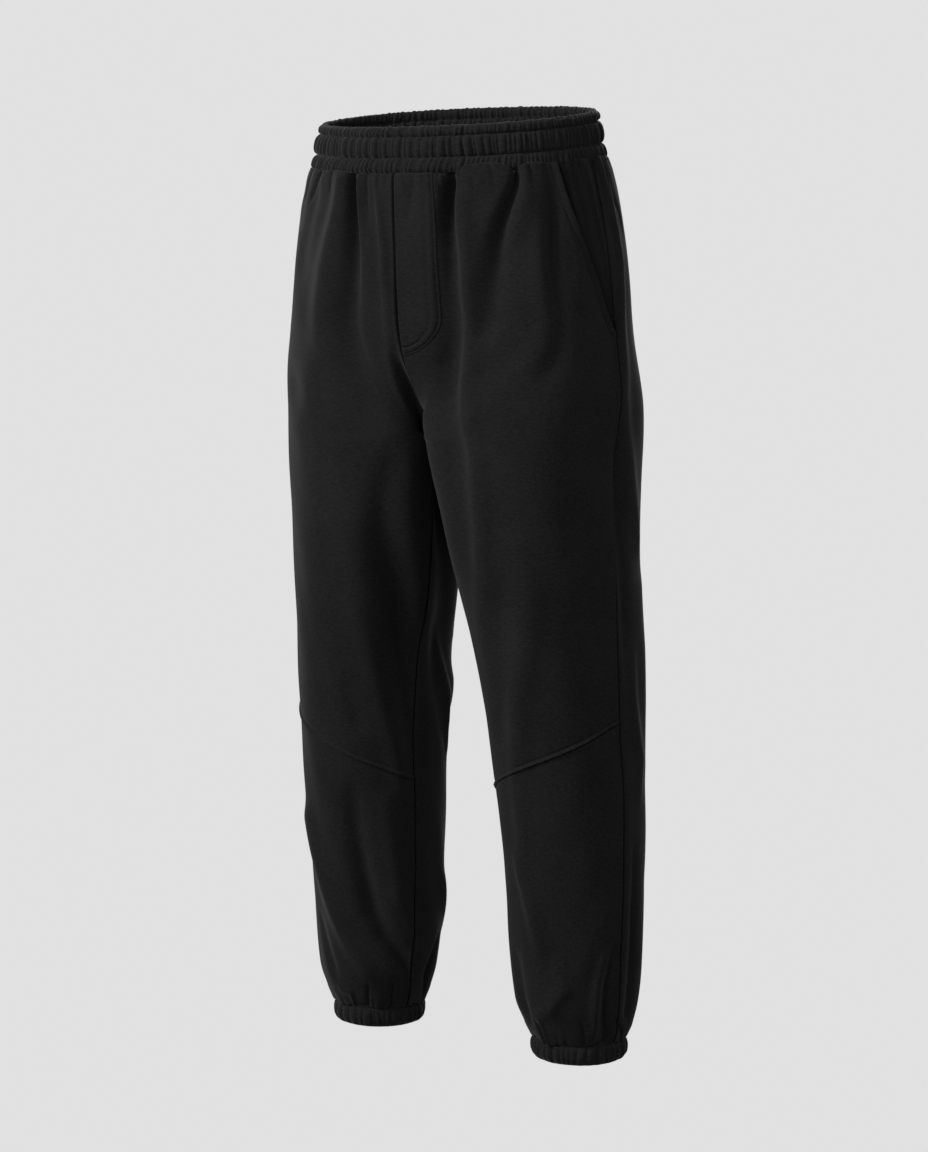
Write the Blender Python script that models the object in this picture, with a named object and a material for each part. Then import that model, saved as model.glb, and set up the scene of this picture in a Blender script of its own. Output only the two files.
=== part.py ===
"""Jogger sweatpants of brushed fleece, filled out as they are worn, with nobody in them.

Metres, +Z up. The front faces -Y and the wearer's left is +X. The origin is the middle
of the waist opening, where the wearer's waist holds the garment up.

Every piece is a wall of cloth cut from one surface, cloth_point(turn, drop):
  drop is how far a row lies below the rim of the waistband, measured down the outseam.
  turn goes once round half the garment: 0 at the centre front, 1 at the outseam and
  2 at the centre back. Below the crotch it goes round the leg, with 0 and 2 inside it.
The right half is the left half mirrored in X, with folds of its own.
"""

import math
from collections import namedtuple

import bpy
import numpy as np

# Cloth, in metres.
FLEECE = 0.0018
WAISTBAND_WALL = 0.0030
CUFF_WALL = 0.0025
FLY_WALL = 0.0012
SEAM_GAP = 0.0003

# Heights, as drops below the rim of the waistband.
WAISTBAND = 0.0486
ARCH_TOP = 0.200
CROTCH_ROW = 0.360
CROTCH = 0.335
INSEAM_DROP = 0.100
ARCH_REACH = 7.0
PARTING_ANGLE = 0.30
CUFF_TOP = 0.980

# The rim is higher at the back: rise for each metre further back, dying out downwards.
RIM_TILT = 0.122
RIM_TILT_END = 0.250

# Fly placket, on the wearer's left front.
FLY_TURN = 0.172
FLY_STRAIGHT = 0.196
FLY_END = 0.236
FLY_END_LIFT = 0.0006

# Slant pocket: the mouth runs from the waistband to this drop on the outseam.
POCKET_END = 0.226
POCKET_STEP = 0.0012

# Seam across the knee, higher at the outseam than at the inseam.
KNEE_AT_OUTSEAM = 0.632
KNEE_AT_INSEAM = 0.721
KNEE_BOW = 0.004

# Length of cloth in one turn, used to measure folds.
TURN_LENGTH = 0.230
FOLD_FADE = 0.028
# Share of a fold's height that is left at a band, and how far from it the fold is whole.
BAND_HOLD = 0.25
BAND_EASE = 0.024

LEFT = "left"
RIGHT = "right"
BOTH = "both"
MIRROR = {LEFT: 1.0, RIGHT: -1.0}

# The body of the garment. square is the exponent of the section: 2 is an ellipse, more is boxier.
Torso = namedtuple("Torso", "drop half_width front back square_front square_back")
TORSO = (
    Torso(0.000, 0.161, 0.107, 0.101, 2.25, 2.15),
    Torso(0.025, 0.166, 0.108, 0.102, 2.25, 2.15),
    Torso(0.049, 0.173, 0.110, 0.105, 2.30, 2.15),
    Torso(0.062, 0.180, 0.111, 0.112, 2.35, 2.15),
    Torso(0.090, 0.187, 0.111, 0.121, 2.50, 2.15),
    Torso(0.150, 0.197, 0.109, 0.130, 2.70, 2.15),
    Torso(0.220, 0.204, 0.104, 0.133, 2.90, 2.15),
    Torso(0.300, 0.209, 0.101, 0.133, 2.90, 2.15),
    Torso(0.380, 0.210, 0.099, 0.132, 2.90, 2.15),
)

# One leg. inner and outer are measured across from its middle, front and back along Y.
# square is the exponent of its inner half, which is pressed flat against the other leg.
Leg = namedtuple("Leg", "drop middle_x middle_y outer inner front back square")
LEG = (
    Leg(0.300, 0.108, 0.000, 0.101, 0.108, 0.105, 0.130, 3.4),
    Leg(0.360, 0.110, 0.001, 0.097, 0.110, 0.104, 0.123, 3.4),
    Leg(0.430, 0.114, 0.004, 0.093, 0.106, 0.101, 0.113, 2.8),
    Leg(0.500, 0.119, 0.008, 0.090, 0.096, 0.096, 0.101, 2.2),
    Leg(0.600, 0.127, 0.012, 0.086, 0.082, 0.088, 0.090, 2.0),
    Leg(0.700, 0.132, 0.019, 0.083, 0.076, 0.079, 0.082, 2.0),
    Leg(0.800, 0.136, 0.025, 0.077, 0.076, 0.072, 0.077, 2.0),
    Leg(0.900, 0.137, 0.027, 0.072, 0.071, 0.065, 0.070, 2.0),
    Leg(0.940, 0.137, 0.028, 0.068, 0.066, 0.062, 0.066, 2.0),
    Leg(0.968, 0.138, 0.031, 0.059, 0.056, 0.055, 0.058, 2.0),
    Leg(0.980, 0.138, 0.032, 0.051, 0.048, 0.048, 0.049, 2.0),
    Leg(0.998, 0.138, 0.032, 0.050, 0.047, 0.047, 0.048, 2.0),
    Leg(1.004, 0.138, 0.032, 0.048, 0.045, 0.045, 0.046, 2.0),
    Leg(1.007, 0.138, 0.032, 0.044, 0.041, 0.041, 0.042, 2.0),
)

# Where the inseam and the outseam run, as turns.
Seams = namedtuple("Seams", "drop inseam outseam")
SEAMS = (
    Seams(0.000, 0.000, 1.000),
    Seams(0.360, 0.000, 1.000),
    Seams(0.400, 0.055, 0.997),
    Seams(0.450, 0.095, 0.987),
    Seams(0.550, 0.090, 0.969),
    Seams(0.630, 0.080, 0.957),
    Seams(0.720, 0.090, 0.949),
    Seams(0.800, 0.097, 0.936),
    Seams(0.880, 0.100, 0.930),
    Seams(0.960, 0.088, 0.945),
    Seams(1.007, 0.084, 0.955),
)

# The edge of the front panel along the pocket mouth.
Mouth = namedtuple("Mouth", "drop turn")
MOUTH = (
    Mouth(0.040, 0.724),
    Mouth(0.080, 0.745),
    Mouth(0.110, 0.772),
    Mouth(0.140, 0.812),
    Mouth(0.170, 0.868),
    Mouth(0.200, 0.922),
    Mouth(0.226, 0.978),
)

# Puffed channels of the waistband, from the rim down, with how far each swells out.
Channel = namedtuple("Channel", "drop swell gather")
CHANNELS = (
    Channel(0.0000, 0.0002, 0.0003),
    Channel(0.0045, 0.0022, 0.0009),
    Channel(0.0095, 0.0000, 0.0005),
    Channel(0.0160, 0.0034, 0.0012),
    Channel(0.0250, 0.0036, 0.0012),
    Channel(0.0320, 0.0000, 0.0005),
    Channel(0.0400, 0.0026, 0.0010),
    Channel(0.0483, 0.0002, 0.0004),
)
WAISTBAND_GATHERS = 84

# Rows of a cuff, below its top edge.
CUFF_ROWS = (
    Channel(0.9803, 0.0004, 0.0006),
    Channel(0.9850, 0.0002, 0.0006),
    Channel(0.9930, 0.0016, 0.0011),
    Channel(1.0010, 0.0014, 0.0010),
    Channel(1.0070, 0.0004, 0.0004),
)
CUFF_GATHERS = 28

# Gathers where a panel is drawn in to the waistband or to the cuff.
FRONT_GATHERS_TO_OUTSEAM = 11
BACK_GATHERS = 8
HEM_GATHERS_PER_TURN = 6.5
GATHER_HEIGHT = 0.0011
WAIST_GATHER_FADE = 0.026
HEM_GATHER_FADE = 0.022

# Main folds: ridges are above zero, valleys below. Each fades out past both its ends.
Fold = namedtuple("Fold", "side turn drop to_turn to_drop width height")
FOLDS = (
    # Right front, under the waistband and down the thigh.
    Fold(RIGHT, 0.215, 0.060, 0.203, 0.115, 0.009, -0.0050),
    Fold(RIGHT, 0.205, 0.120, 0.258, 0.190, 0.018, -0.0040),
    Fold(RIGHT, 0.258, 0.190, 0.372, 0.330, 0.026, -0.0035),
    Fold(RIGHT, 0.335, 0.409, 0.200, 0.591, 0.022, -0.0055),
    Fold(RIGHT, 0.190, 0.600, 0.182, 0.660, 0.020, -0.0035),
    # Left front: a valley beside the fly, a long ridge down the thigh, a slanting pleat.
    Fold(LEFT, 0.262, 0.055, 0.234, 0.150, 0.010, -0.0060),
    Fold(LEFT, 0.300, 0.080, 0.270, 0.200, 0.018, 0.0030),
    Fold(LEFT, 0.270, 0.210, 0.400, 0.380, 0.022, 0.0035),
    Fold(LEFT, 0.420, 0.400, 0.360, 0.520, 0.022, 0.0035),
    Fold(LEFT, 0.517, 0.052, 0.410, 0.118, 0.010, -0.0060),
    Fold(LEFT, 0.400, 0.120, 0.365, 0.165, 0.014, -0.0030),
    Fold(LEFT, 0.640, 0.090, 0.610, 0.175, 0.022, -0.0035),
    Fold(LEFT, 0.570, 0.471, 0.540, 0.590, 0.022, 0.0030),
    Fold(LEFT, 0.800, 0.500, 0.855, 0.670, 0.030, -0.0035),
    # Below the knees.
    Fold(RIGHT, 0.740, 0.780, 0.470, 0.915, 0.016, 0.0040),
    Fold(RIGHT, 0.400, 0.790, 0.230, 0.900, 0.018, -0.0040),
    Fold(LEFT, 0.340, 0.808, 0.465, 0.862, 0.014, 0.0035),
    Fold(LEFT, 0.807, 0.900, 0.787, 0.958, 0.012, -0.0030),
    # Outseams and backs.
    Fold(BOTH, 1.110, 0.060, 1.125, 0.230, 0.014, 0.0030),
    Fold(BOTH, 1.050, 0.340, 1.170, 0.450, 0.020, 0.0040),
    Fold(BOTH, 1.030, 0.580, 1.170, 0.665, 0.018, 0.0040),
    Fold(LEFT, 1.380, 0.060, 1.420, 0.150, 0.013, -0.0050),
    Fold(RIGHT, 1.520, 0.060, 1.470, 0.165, 0.013, -0.0050),
    Fold(BOTH, 1.850, 0.250, 1.600, 0.400, 0.024, 0.0045),
    Fold(BOTH, 1.820, 0.330, 1.560, 0.470, 0.018, -0.0040),
    Fold(LEFT, 1.700, 0.640, 1.350, 0.740, 0.020, 0.0040),
    Fold(LEFT, 1.620, 0.720, 1.300, 0.800, 0.018, -0.0035),
    Fold(RIGHT, 1.780, 0.620, 1.460, 0.710, 0.018, 0.0035),
    Fold(RIGHT, 1.700, 0.680, 1.400, 0.760, 0.018, -0.0035),
    Fold(RIGHT, 1.900, 0.860, 1.550, 0.940, 0.018, 0.0040),
    Fold(LEFT, 1.400, 0.830, 1.700, 0.930, 0.018, 0.0040),
)

# Grids of the panels: columns across and rows down.
FRONT_COLUMNS = 30
FLY_COLUMNS = 7
FLY_ROWS = 7
FLY_END_ROWS = (0.55, 0.85, 1.0)
BACK_COLUMNS = 24
KNEE_COLUMNS = 20
FACING_COLUMNS = 6
FRONT_ROWS = (0.0486, 0.056, 0.068, 0.088, 0.112, 0.142, 0.174, 0.204, 0.2248)
FRONT_ROWS_TO_CROTCH = (0.2262, 0.258, 0.290, 0.322, 0.345, 0.360)
BACK_ROWS_TO_CROTCH = (0.0486, 0.058, 0.075, 0.102, 0.138, 0.172, 0.205, 0.240, 0.275, 0.308, 0.337, 0.360)
# Rows below the crotch, as shares of the way to the knee seam and of the way on to the cuff.
ROWS_TO_KNEE = (0.16, 0.35, 0.55, 0.78, 1.0)
ROWS_TO_CUFF = (0.16, 0.32, 0.48, 0.64, 0.79, 0.90, 1.0)

# Corners of a quad in the other order, split along the same diagonal.
TURNED_ROUND = [0, 3, 2, 1]

# Finishes: colour in linear red, green and blue, then roughness.
Finish = namedtuple("Finish", "name colour roughness")
FLEECE_FINISH = Finish("black brushed fleece", (0.0130, 0.0135, 0.0145), 0.92)
BAND_FINISH = Finish("black elastic casing", (0.0150, 0.0150, 0.0160), 0.88)
FACING_FINISH = Finish("black pocket facing", (0.0110, 0.0115, 0.0125), 0.92)


def clear_scene():
    """Remove every object that the opening scene holds."""
    for old in list(bpy.data.objects):
        bpy.data.objects.remove(old, do_unlink=True)


def read_rows(rows, place):
    """Every column of a table at each place, on a smooth curve through its rows with no overshoot."""
    table = np.array(rows, dtype=float)
    knots, values = table[:, 0], table[:, 1:]
    place = np.clip(np.asarray(place, dtype=float), knots[0], knots[-1])
    step = np.diff(knots)[:, None]
    slope = np.diff(values, axis=0) / step
    before, after = slope[:-1], slope[1:]
    same_way = before * after > 0
    mean = 2 * before * after / np.where(same_way, before + after, 1.0)
    tangent = np.concatenate([slope[:1], np.where(same_way, mean, 0.0), slope[-1:]])
    at = np.clip(np.searchsorted(knots, place, side="right") - 1, 0, len(step) - 1)
    span = step[at]
    s = (place - knots[at])[..., None] / span
    curve = (1 + 2 * s) * (1 - s) ** 2 * values[at] + s * s * (3 - 2 * s) * values[at + 1]
    curve = curve + s * (1 - s) ** 2 * span * tangent[at] + s * s * (s - 1) * span * tangent[at + 1]
    return np.moveaxis(curve, -1, 0)


def oval(angle, exponent):
    """Cosine and sine of an angle, moved out to a superellipse of this exponent."""
    cosine, sine = np.cos(angle), np.sin(angle)
    reach = (np.abs(cosine) ** exponent + np.abs(sine) ** exponent) ** (-1 / exponent)
    return cosine * reach, sine * reach


def torso_point(turn, drop, parting):
    """X and Y of the body of the garment, one half of it from the centre front to the centre back.

    Towards the crotch the parting, 0 to 1, draws the middle of each side in over its leg.
    """
    half_width, front, back, square_front, square_back = read_rows(TORSO, drop)
    exponent = np.where(turn < 1, square_front, square_back)
    depth = np.where(turn < 1, front, back)
    angle = turn * math.pi / 2 - PARTING_ANGLE * parting * np.sin(turn * math.pi)
    forward, outward = oval(angle, exponent)
    return half_width * outward, -depth * forward


def leg_point(turn, drop):
    """X and Y of a leg, once round it from the inside past the front, outseam and back."""
    middle_x, middle_y, outer, inner, front, back, square = read_rows(LEG, drop)
    angle = turn * math.pi
    inward, forward = oval(angle, np.where(np.cos(angle) > 0, square, 2.0))
    across = np.where(inward > 0, inner, outer)
    depth = np.where(forward > 0, front, back)
    return middle_x - across * inward, middle_y - depth * forward


def cloth_point(turn, drop):
    """The surface that all pieces of the left half are cut from."""
    turn, drop = np.broadcast_arrays(np.asarray(turn, dtype=float), np.asarray(drop, dtype=float))
    inward = np.cos(turn * math.pi / 2) ** 2
    past = np.clip((drop - ARCH_TOP) / (CROTCH_ROW - ARCH_TOP), 0, 1)
    arch = past * math.pi / 2
    # The centre seam bends round to the crotch, and the outside eases from body to leg.
    nearness = inward**ARCH_REACH
    parting = past**2 * (3 - 2 * past)
    leg_share = (1 - np.cos(arch)) * nearness + parting * (1 - nearness)
    # Rows bend up to the crotch between the legs and level out again below it.
    over_arch = ARCH_TOP + (CROTCH - ARCH_TOP) * np.sin(arch)
    below = np.clip(1 - (drop - CROTCH_ROW) / INSEAM_DROP, 0, 1) ** 2
    inside = np.where(drop < CROTCH_ROW, over_arch, drop - (CROTCH_ROW - CROTCH) * below)
    inside = np.where(drop < ARCH_TOP, drop, inside)
    down = drop + (inside - drop) * inward
    torso_x, torso_y = torso_point(turn, down, parting)
    leg_x, leg_y = leg_point(turn, down)
    x = (1 - leg_share) * torso_x + leg_share * leg_x
    y = (1 - leg_share) * torso_y + leg_share * leg_y
    tilt = RIM_TILT * np.clip(1 - drop / RIM_TILT_END, 0, 1)
    return np.stack([x, y, tilt * y - down], axis=-1)


def cloth_normal(turn, drop, level=False):
    """Unit directions straight out of the cloth, or out of it and level."""
    small = 2e-4
    across = cloth_point(turn + small, drop) - cloth_point(turn - small, drop)
    down = cloth_point(turn, drop + small) - cloth_point(turn, drop - small)
    out = np.cross(across, -down)
    if level:
        out[..., 2] = 0
    return out / np.linalg.norm(out, axis=-1, keepdims=True)


def width_in_turns(turn, drop, width):
    """How many turns a width of cloth takes up at a place."""
    small = 2e-4
    across = cloth_point(turn + small, drop) - cloth_point(turn - small, drop)
    return width * 2 * small / np.linalg.norm(across, axis=-1)


def fold_height(side, turn, drop):
    """How far the folds lift the cloth: a soft bump along each row of FOLDS.

    A panel is held in line where it is sewn to the waistband and to the cuff.
    """
    height = np.zeros(np.broadcast(turn, drop).shape)
    for fold in FOLDS:
        if fold.side not in (side, BOTH):
            continue
        run_across = (fold.to_turn - fold.turn) * TURN_LENGTH
        run_down = fold.to_drop - fold.drop
        length = math.hypot(run_across, run_down)
        across = (turn - fold.turn) * TURN_LENGTH
        down = drop - fold.drop
        along = (across * run_across + down * run_down) / length
        beside = (across * run_down - down * run_across) / length
        past = along - np.clip(along, 0, length)
        height = height + fold.height * np.exp(-((beside / fold.width) ** 2) - (past / FOLD_FADE) ** 2)
    to_band = np.minimum(drop - WAISTBAND, CUFF_TOP - drop)
    return height * (BAND_HOLD + (1 - BAND_HOLD) * np.clip(to_band / BAND_EASE, 0, 1))


def gather_height(turn, drop):
    """Small waves where a panel is drawn in, at the waistband and at the cuff."""
    count = np.where(turn < 1, FRONT_GATHERS_TO_OUTSEAM, BACK_GATHERS)
    at_waist = np.clip(1 - (drop - WAISTBAND) / WAIST_GATHER_FADE, 0, 1)
    at_hem = np.clip(1 - (CUFF_TOP - drop) / HEM_GATHER_FADE, 0, 1)
    waist_wave = np.cos(turn * count * 2 * math.pi + 0.8 * np.sin(9 * turn))
    hem_wave = np.cos(turn * HEM_GATHERS_PER_TURN * 2 * math.pi + 0.7 * np.sin(7 * turn))
    return GATHER_HEIGHT * (at_waist * waist_wave + at_hem * hem_wave)


def lifted(side, turn, drop, height):
    """Points of the cloth on one side of the garment, moved out by a height."""
    point = cloth_point(turn, drop) + cloth_normal(turn, drop) * np.asarray(height)[..., None]
    point[..., 0] = np.maximum(point[..., 0], SEAM_GAP / 2)
    return point * np.array([MIRROR[side], 1.0, 1.0])


def panel(side, turn, drop, sink=0.0):
    """Outer and inner points of a panel of fleece, with its folds and gathers."""
    height = fold_height(side, turn, drop) + gather_height(turn, drop) - sink
    return lifted(side, turn, drop, height), lifted(side, turn, drop, height - FLEECE)


def rim_faces(outer_edge, inner_edge):
    """Quads that close a wall along one edge, whose numbers run with the outside on their left."""
    corners = [outer_edge[:-1], outer_edge[1:], inner_edge[1:], inner_edge[:-1]]
    return np.stack(corners, axis=-1)


def add_wall(name, outer, inner, finish, ring=False, mirrored=False):
    """Make one closed piece of cloth from two grids of points, its outside and its inside.

    The grids have as many columns each. A panel's also have as many rows, so that its side edges
    close. A ring's first column is repeated as its last one, and these are made one.
    """
    sheets, numbers = [], []
    for grid in (outer, inner):
        rows, columns = grid.shape[:2]
        number = np.arange(rows * columns).reshape(rows, columns) + sum(map(np.size, numbers))
        numbers.append(number)
        if ring:
            number = np.concatenate([number, number[:, :1]], axis=1)
        corners = [number[:-1, :-1], number[1:, :-1], number[1:, 1:], number[:-1, 1:]]
        sheets.append((number, np.stack(corners, axis=-1).reshape(-1, 4)))
    (outside, outer_faces), (inside, inner_faces) = sheets
    rims = [rim_faces(outside[0], inside[0]), rim_faces(outside[-1, ::-1], inside[-1, ::-1])]
    if not ring:
        rims += [rim_faces(outside[:, -1], inside[:, -1]), rim_faces(outside[::-1, 0], inside[::-1, 0])]
    faces = np.concatenate([outer_faces, inner_faces[:, TURNED_ROUND]] + rims)
    if mirrored:
        faces = faces[:, TURNED_ROUND]
    points = np.concatenate([outer.reshape(-1, 3), inner.reshape(-1, 3)])
    mesh = bpy.data.meshes.new(name)
    mesh.from_pydata(points.tolist(), [], faces.tolist())
    mesh.shade_smooth()
    mesh.set_sharp_from_angle(angle=math.radians(50))
    mesh.materials.append(material_for(finish))
    piece = bpy.data.objects.new(name, mesh)
    return piece


def material_for(finish):
    """The Principled material of a finish, made once."""
    found = bpy.data.materials.get(finish.name)
    if found:
        return found
    material = bpy.data.materials.new(finish.name)
    material.use_nodes = True
    shader = material.node_tree.nodes["Principled BSDF"]
    shader.inputs["Base Color"].default_value = (*finish.colour, 1.0)
    shader.inputs["Roughness"].default_value = finish.roughness
    shader.inputs["Metallic"].default_value = 0.0
    return material


def seam_edges(drop):
    """Turns of a leg's inseam and outseam, each half a seam gap inside the front panel."""
    inseam, outseam = read_rows(SEAMS, drop)
    half = SEAM_GAP / 2
    return (
        inseam + width_in_turns(inseam, drop, half),
        outseam - width_in_turns(outseam, drop, half),
    )


def front_turns(drop):
    """Turns of the front panel's columns at each drop: a fly's width, and then the rest."""
    inseam, outseam = seam_edges(drop)
    mouth = read_rows(MOUTH, drop)[0]
    mouth = mouth - width_in_turns(mouth, drop, SEAM_GAP / 2)
    outer_edge = np.where(drop < POCKET_END, mouth, outseam)
    spread = np.linspace(0, 1, FRONT_COLUMNS + 1)
    knot = FLY_COLUMNS / FRONT_COLUMNS
    even = inseam + (outer_edge - inseam) * knot
    ease = np.clip((drop - FLY_END) / (CROTCH_ROW - FLY_END), 0, 1)
    fly_edge = FLY_TURN + (even - FLY_TURN) * ease
    near = (fly_edge - inseam)[:, None] * np.clip(spread / knot, 0, 1)
    far = (outer_edge - fly_edge)[:, None] * np.clip((spread - knot) / (1 - knot), 0, 1)
    return inseam[:, None] + near + far


def knee_drop(share):
    """Drop of the seam across the knee, a shallow bow from the inseam, 0, up to the outseam, 1."""
    straight = KNEE_AT_INSEAM + (KNEE_AT_OUTSEAM - KNEE_AT_INSEAM) * share
    return straight + KNEE_BOW * np.sin(share * math.pi)


def rows_between(top, bottom, shares):
    """Rows of drops at shares of the way from one slanting row to another."""
    return top + (bottom - top) * np.array(shares)[:, None]


def make_front(side):
    """Upper front panel: waistband to knee seam, cut away along the pocket mouth."""
    spread = np.linspace(0, 1, FRONT_COLUMNS + 1)
    level = np.array(FRONT_ROWS + FRONT_ROWS_TO_CROTCH)
    slant = rows_between(CROTCH_ROW, knee_drop(spread) - SEAM_GAP / 2, ROWS_TO_KNEE)
    inseam, outseam = seam_edges(slant)
    turn = np.vstack([front_turns(level), inseam + (outseam - inseam) * spread])
    drop = np.vstack([np.repeat(level[:, None], len(spread), axis=1), slant])
    outer, inner = panel(side, turn, drop)
    piece = add_wall(f"front_{side}", outer, inner, FLEECE_FINISH, mirrored=side == RIGHT)
    return piece, outer, inner


def make_knee_panel(side):
    """Lower front panel: knee seam to cuff."""
    spread = np.linspace(0, 1, KNEE_COLUMNS + 1)
    top = knee_drop(spread) + SEAM_GAP / 2
    drop = rows_between(top, CUFF_TOP - SEAM_GAP, (0.0,) + ROWS_TO_CUFF)
    inseam, outseam = seam_edges(drop)
    turn = inseam + (outseam - inseam) * spread
    outer, inner = panel(side, turn, drop)
    return add_wall(f"knee_panel_{side}", outer, inner, FLEECE_FINISH, mirrored=side == RIGHT)


def make_back(side):
    """Back panel: waistband to cuff, from the outseam round to the centre back and the inseam."""
    spread = np.linspace(0, 1, BACK_COLUMNS + 1)
    knee = KNEE_AT_OUTSEAM + (KNEE_AT_INSEAM - KNEE_AT_OUTSEAM) * spread
    level = np.repeat(np.array(BACK_ROWS_TO_CROTCH)[:, None], len(spread), axis=1)
    to_knee = rows_between(CROTCH_ROW, knee, ROWS_TO_KNEE)
    to_cuff = rows_between(knee, CUFF_TOP - SEAM_GAP, ROWS_TO_CUFF)
    drop = np.vstack([level, to_knee, to_cuff])
    inseam, outseam = read_rows(SEAMS, drop)
    half = SEAM_GAP / 2
    start = outseam + width_in_turns(outseam, drop, half)
    end = 2 + inseam - width_in_turns(2 + inseam, drop, half)
    outer, inner = panel(side, start + (end - start) * spread, drop)
    return add_wall(f"back_{side}", outer, inner, FLEECE_FINISH, mirrored=side == RIGHT)


def make_pocket_facing(side):
    """Hip panel behind the pocket mouth, set lower than the mouth's edge and level at the outseam."""
    drop = np.array(FRONT_ROWS)[:, None]
    drop = np.where(drop == drop[-1], drop - SEAM_GAP, drop)
    mouth = read_rows(MOUTH, drop)[0]
    outseam = read_rows(SEAMS, drop)[1]
    start = mouth + width_in_turns(mouth, drop, SEAM_GAP / 2)
    end = outseam - width_in_turns(outseam, drop, SEAM_GAP / 2)
    share = np.linspace(0, 1, FACING_COLUMNS + 1)
    turn = start + (end - start) * share
    sink = POCKET_STEP * (1 - share) ** 2
    outer, inner = panel(side, turn, np.broadcast_to(drop, turn.shape), sink)
    name = f"pocket_facing_{side}"
    return add_wall(name, outer, inner, FACING_FINISH, mirrored=side == RIGHT)


def make_fly(front_outer, front_inner):
    """Fly placket: the left front's own points moved out, down to a rounded end."""
    level = np.array(FRONT_ROWS + FRONT_ROWS_TO_CROTCH)
    columns = FLY_COLUMNS + 1
    share = np.linspace(0, 1, columns)
    end = FLY_STRAIGHT + (FLY_END - FLY_STRAIGHT) * np.sqrt(1 - share**2)
    straight = np.repeat(level[:FLY_ROWS, None], columns, axis=1)
    drop = np.vstack([straight, rows_between(straight[-1], end, FLY_END_ROWS)])
    row = np.interp(drop, level, np.arange(len(level)))
    above = np.minimum(row.astype(int), len(level) - 2)
    part = (row - above)[..., None]
    column = np.arange(columns)[None, :]
    surface = (1 - part) * front_outer[above, column] + part * front_outer[above + 1, column]
    inside = (1 - part) * front_inner[above, column] + part * front_inner[above + 1, column]
    out = (surface - inside) / np.linalg.norm(surface - inside, axis=-1, keepdims=True)
    # The rounded end crosses the rows of the front panel, and clears them by a little more.
    lift = SEAM_GAP + FLY_END_LIFT * (np.arange(len(drop)) >= FLY_ROWS)[:, None, None]
    inner = surface + out * lift
    outer = surface + out * (lift + FLY_WALL)
    return add_wall("fly_placket", outer, inner, FLEECE_FINISH)


def gather_pattern(columns):
    """Height of each column of a gathered band, from -1 in a groove to 1 on a crest, unevenly."""
    column = np.arange(columns)
    unevenness = 0.78 + 0.22 * np.sin(column * 1.7) * np.cos(column * 0.61)
    return np.where(column % 2 == 0, 1.0, -1.0) * unevenness


def band_walls(turn, mirror, rows, gathers, wall):
    """Outer and inner points of a gathered band along given turns of the cloth."""
    table = np.array(rows, dtype=float)
    drop = table[:, :1]
    swell, gather = table[:, 1:2], table[:, 2:3]
    turn, drop = np.broadcast_arrays(turn[None, :], drop)
    out = cloth_normal(turn, drop, level=True)
    base = cloth_point(turn, drop)
    lift = swell + gather * gathers[None, :]
    side = np.ones(base.shape)
    side[..., 0] = mirror
    outer = (base + out * lift[..., None]) * side
    inner = (base - out * wall) * side
    return outer, inner[[0, -1]]


def add_band(name, outer, inner, mirrored=False):
    """A gathered band: many rows outside, and inside it plain cloth from edge to edge."""
    return add_wall(name, outer, inner, BAND_FINISH, ring=True, mirrored=mirrored)


def make_waistband():
    """Waistband: three gathered channels all round, the left half and then the right half."""
    columns = 2 * WAISTBAND_GATHERS
    place = np.arange(columns) * 4 / columns
    turn = np.where(place <= 2, place, 4 - place)
    mirror = np.where(place <= 2, 1.0, -1.0)
    outer, inner = band_walls(turn, mirror, CHANNELS, gather_pattern(columns), WAISTBAND_WALL)
    return add_band("waistband", outer, inner)


def make_cuff(side):
    """Cuff: one gathered band round the end of a leg, drawn in at its hem."""
    columns = 2 * CUFF_GATHERS
    turn = np.arange(columns) * 2 / columns
    outer, inner = band_walls(turn, MIRROR[side], CUFF_ROWS, gather_pattern(columns), CUFF_WALL)
    return add_band(f"cuff_{side}", outer, inner, mirrored=side == RIGHT)


def main():
    """Build every piece and hang it from the waist."""
    clear_scene()
    collection = bpy.data.collections.new("jogger_sweatpants")
    bpy.context.scene.collection.children.link(collection)
    waist = bpy.data.objects.new("waist", None)
    collection.objects.link(waist)
    pieces = [make_waistband()]
    for side in (LEFT, RIGHT):
        front, outer, inner = make_front(side)
        pieces.append(front)
        if side == LEFT:
            pieces.append(make_fly(outer, inner))
        pieces.append(make_pocket_facing(side))
        pieces.append(make_knee_panel(side))
        pieces.append(make_back(side))
        pieces.append(make_cuff(side))
    for piece in pieces:
        collection.objects.link(piece)
        piece.parent = waist


main()
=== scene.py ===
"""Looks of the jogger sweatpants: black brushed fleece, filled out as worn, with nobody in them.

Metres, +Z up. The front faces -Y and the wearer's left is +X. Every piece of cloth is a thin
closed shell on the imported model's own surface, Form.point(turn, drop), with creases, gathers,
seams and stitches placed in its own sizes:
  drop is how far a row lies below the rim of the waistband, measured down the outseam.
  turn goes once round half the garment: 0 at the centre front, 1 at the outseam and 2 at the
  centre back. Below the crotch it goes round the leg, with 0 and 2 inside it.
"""

import logging
import math
from dataclasses import dataclass
from enum import Enum
from typing import Callable, NamedTuple, Sequence

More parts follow.
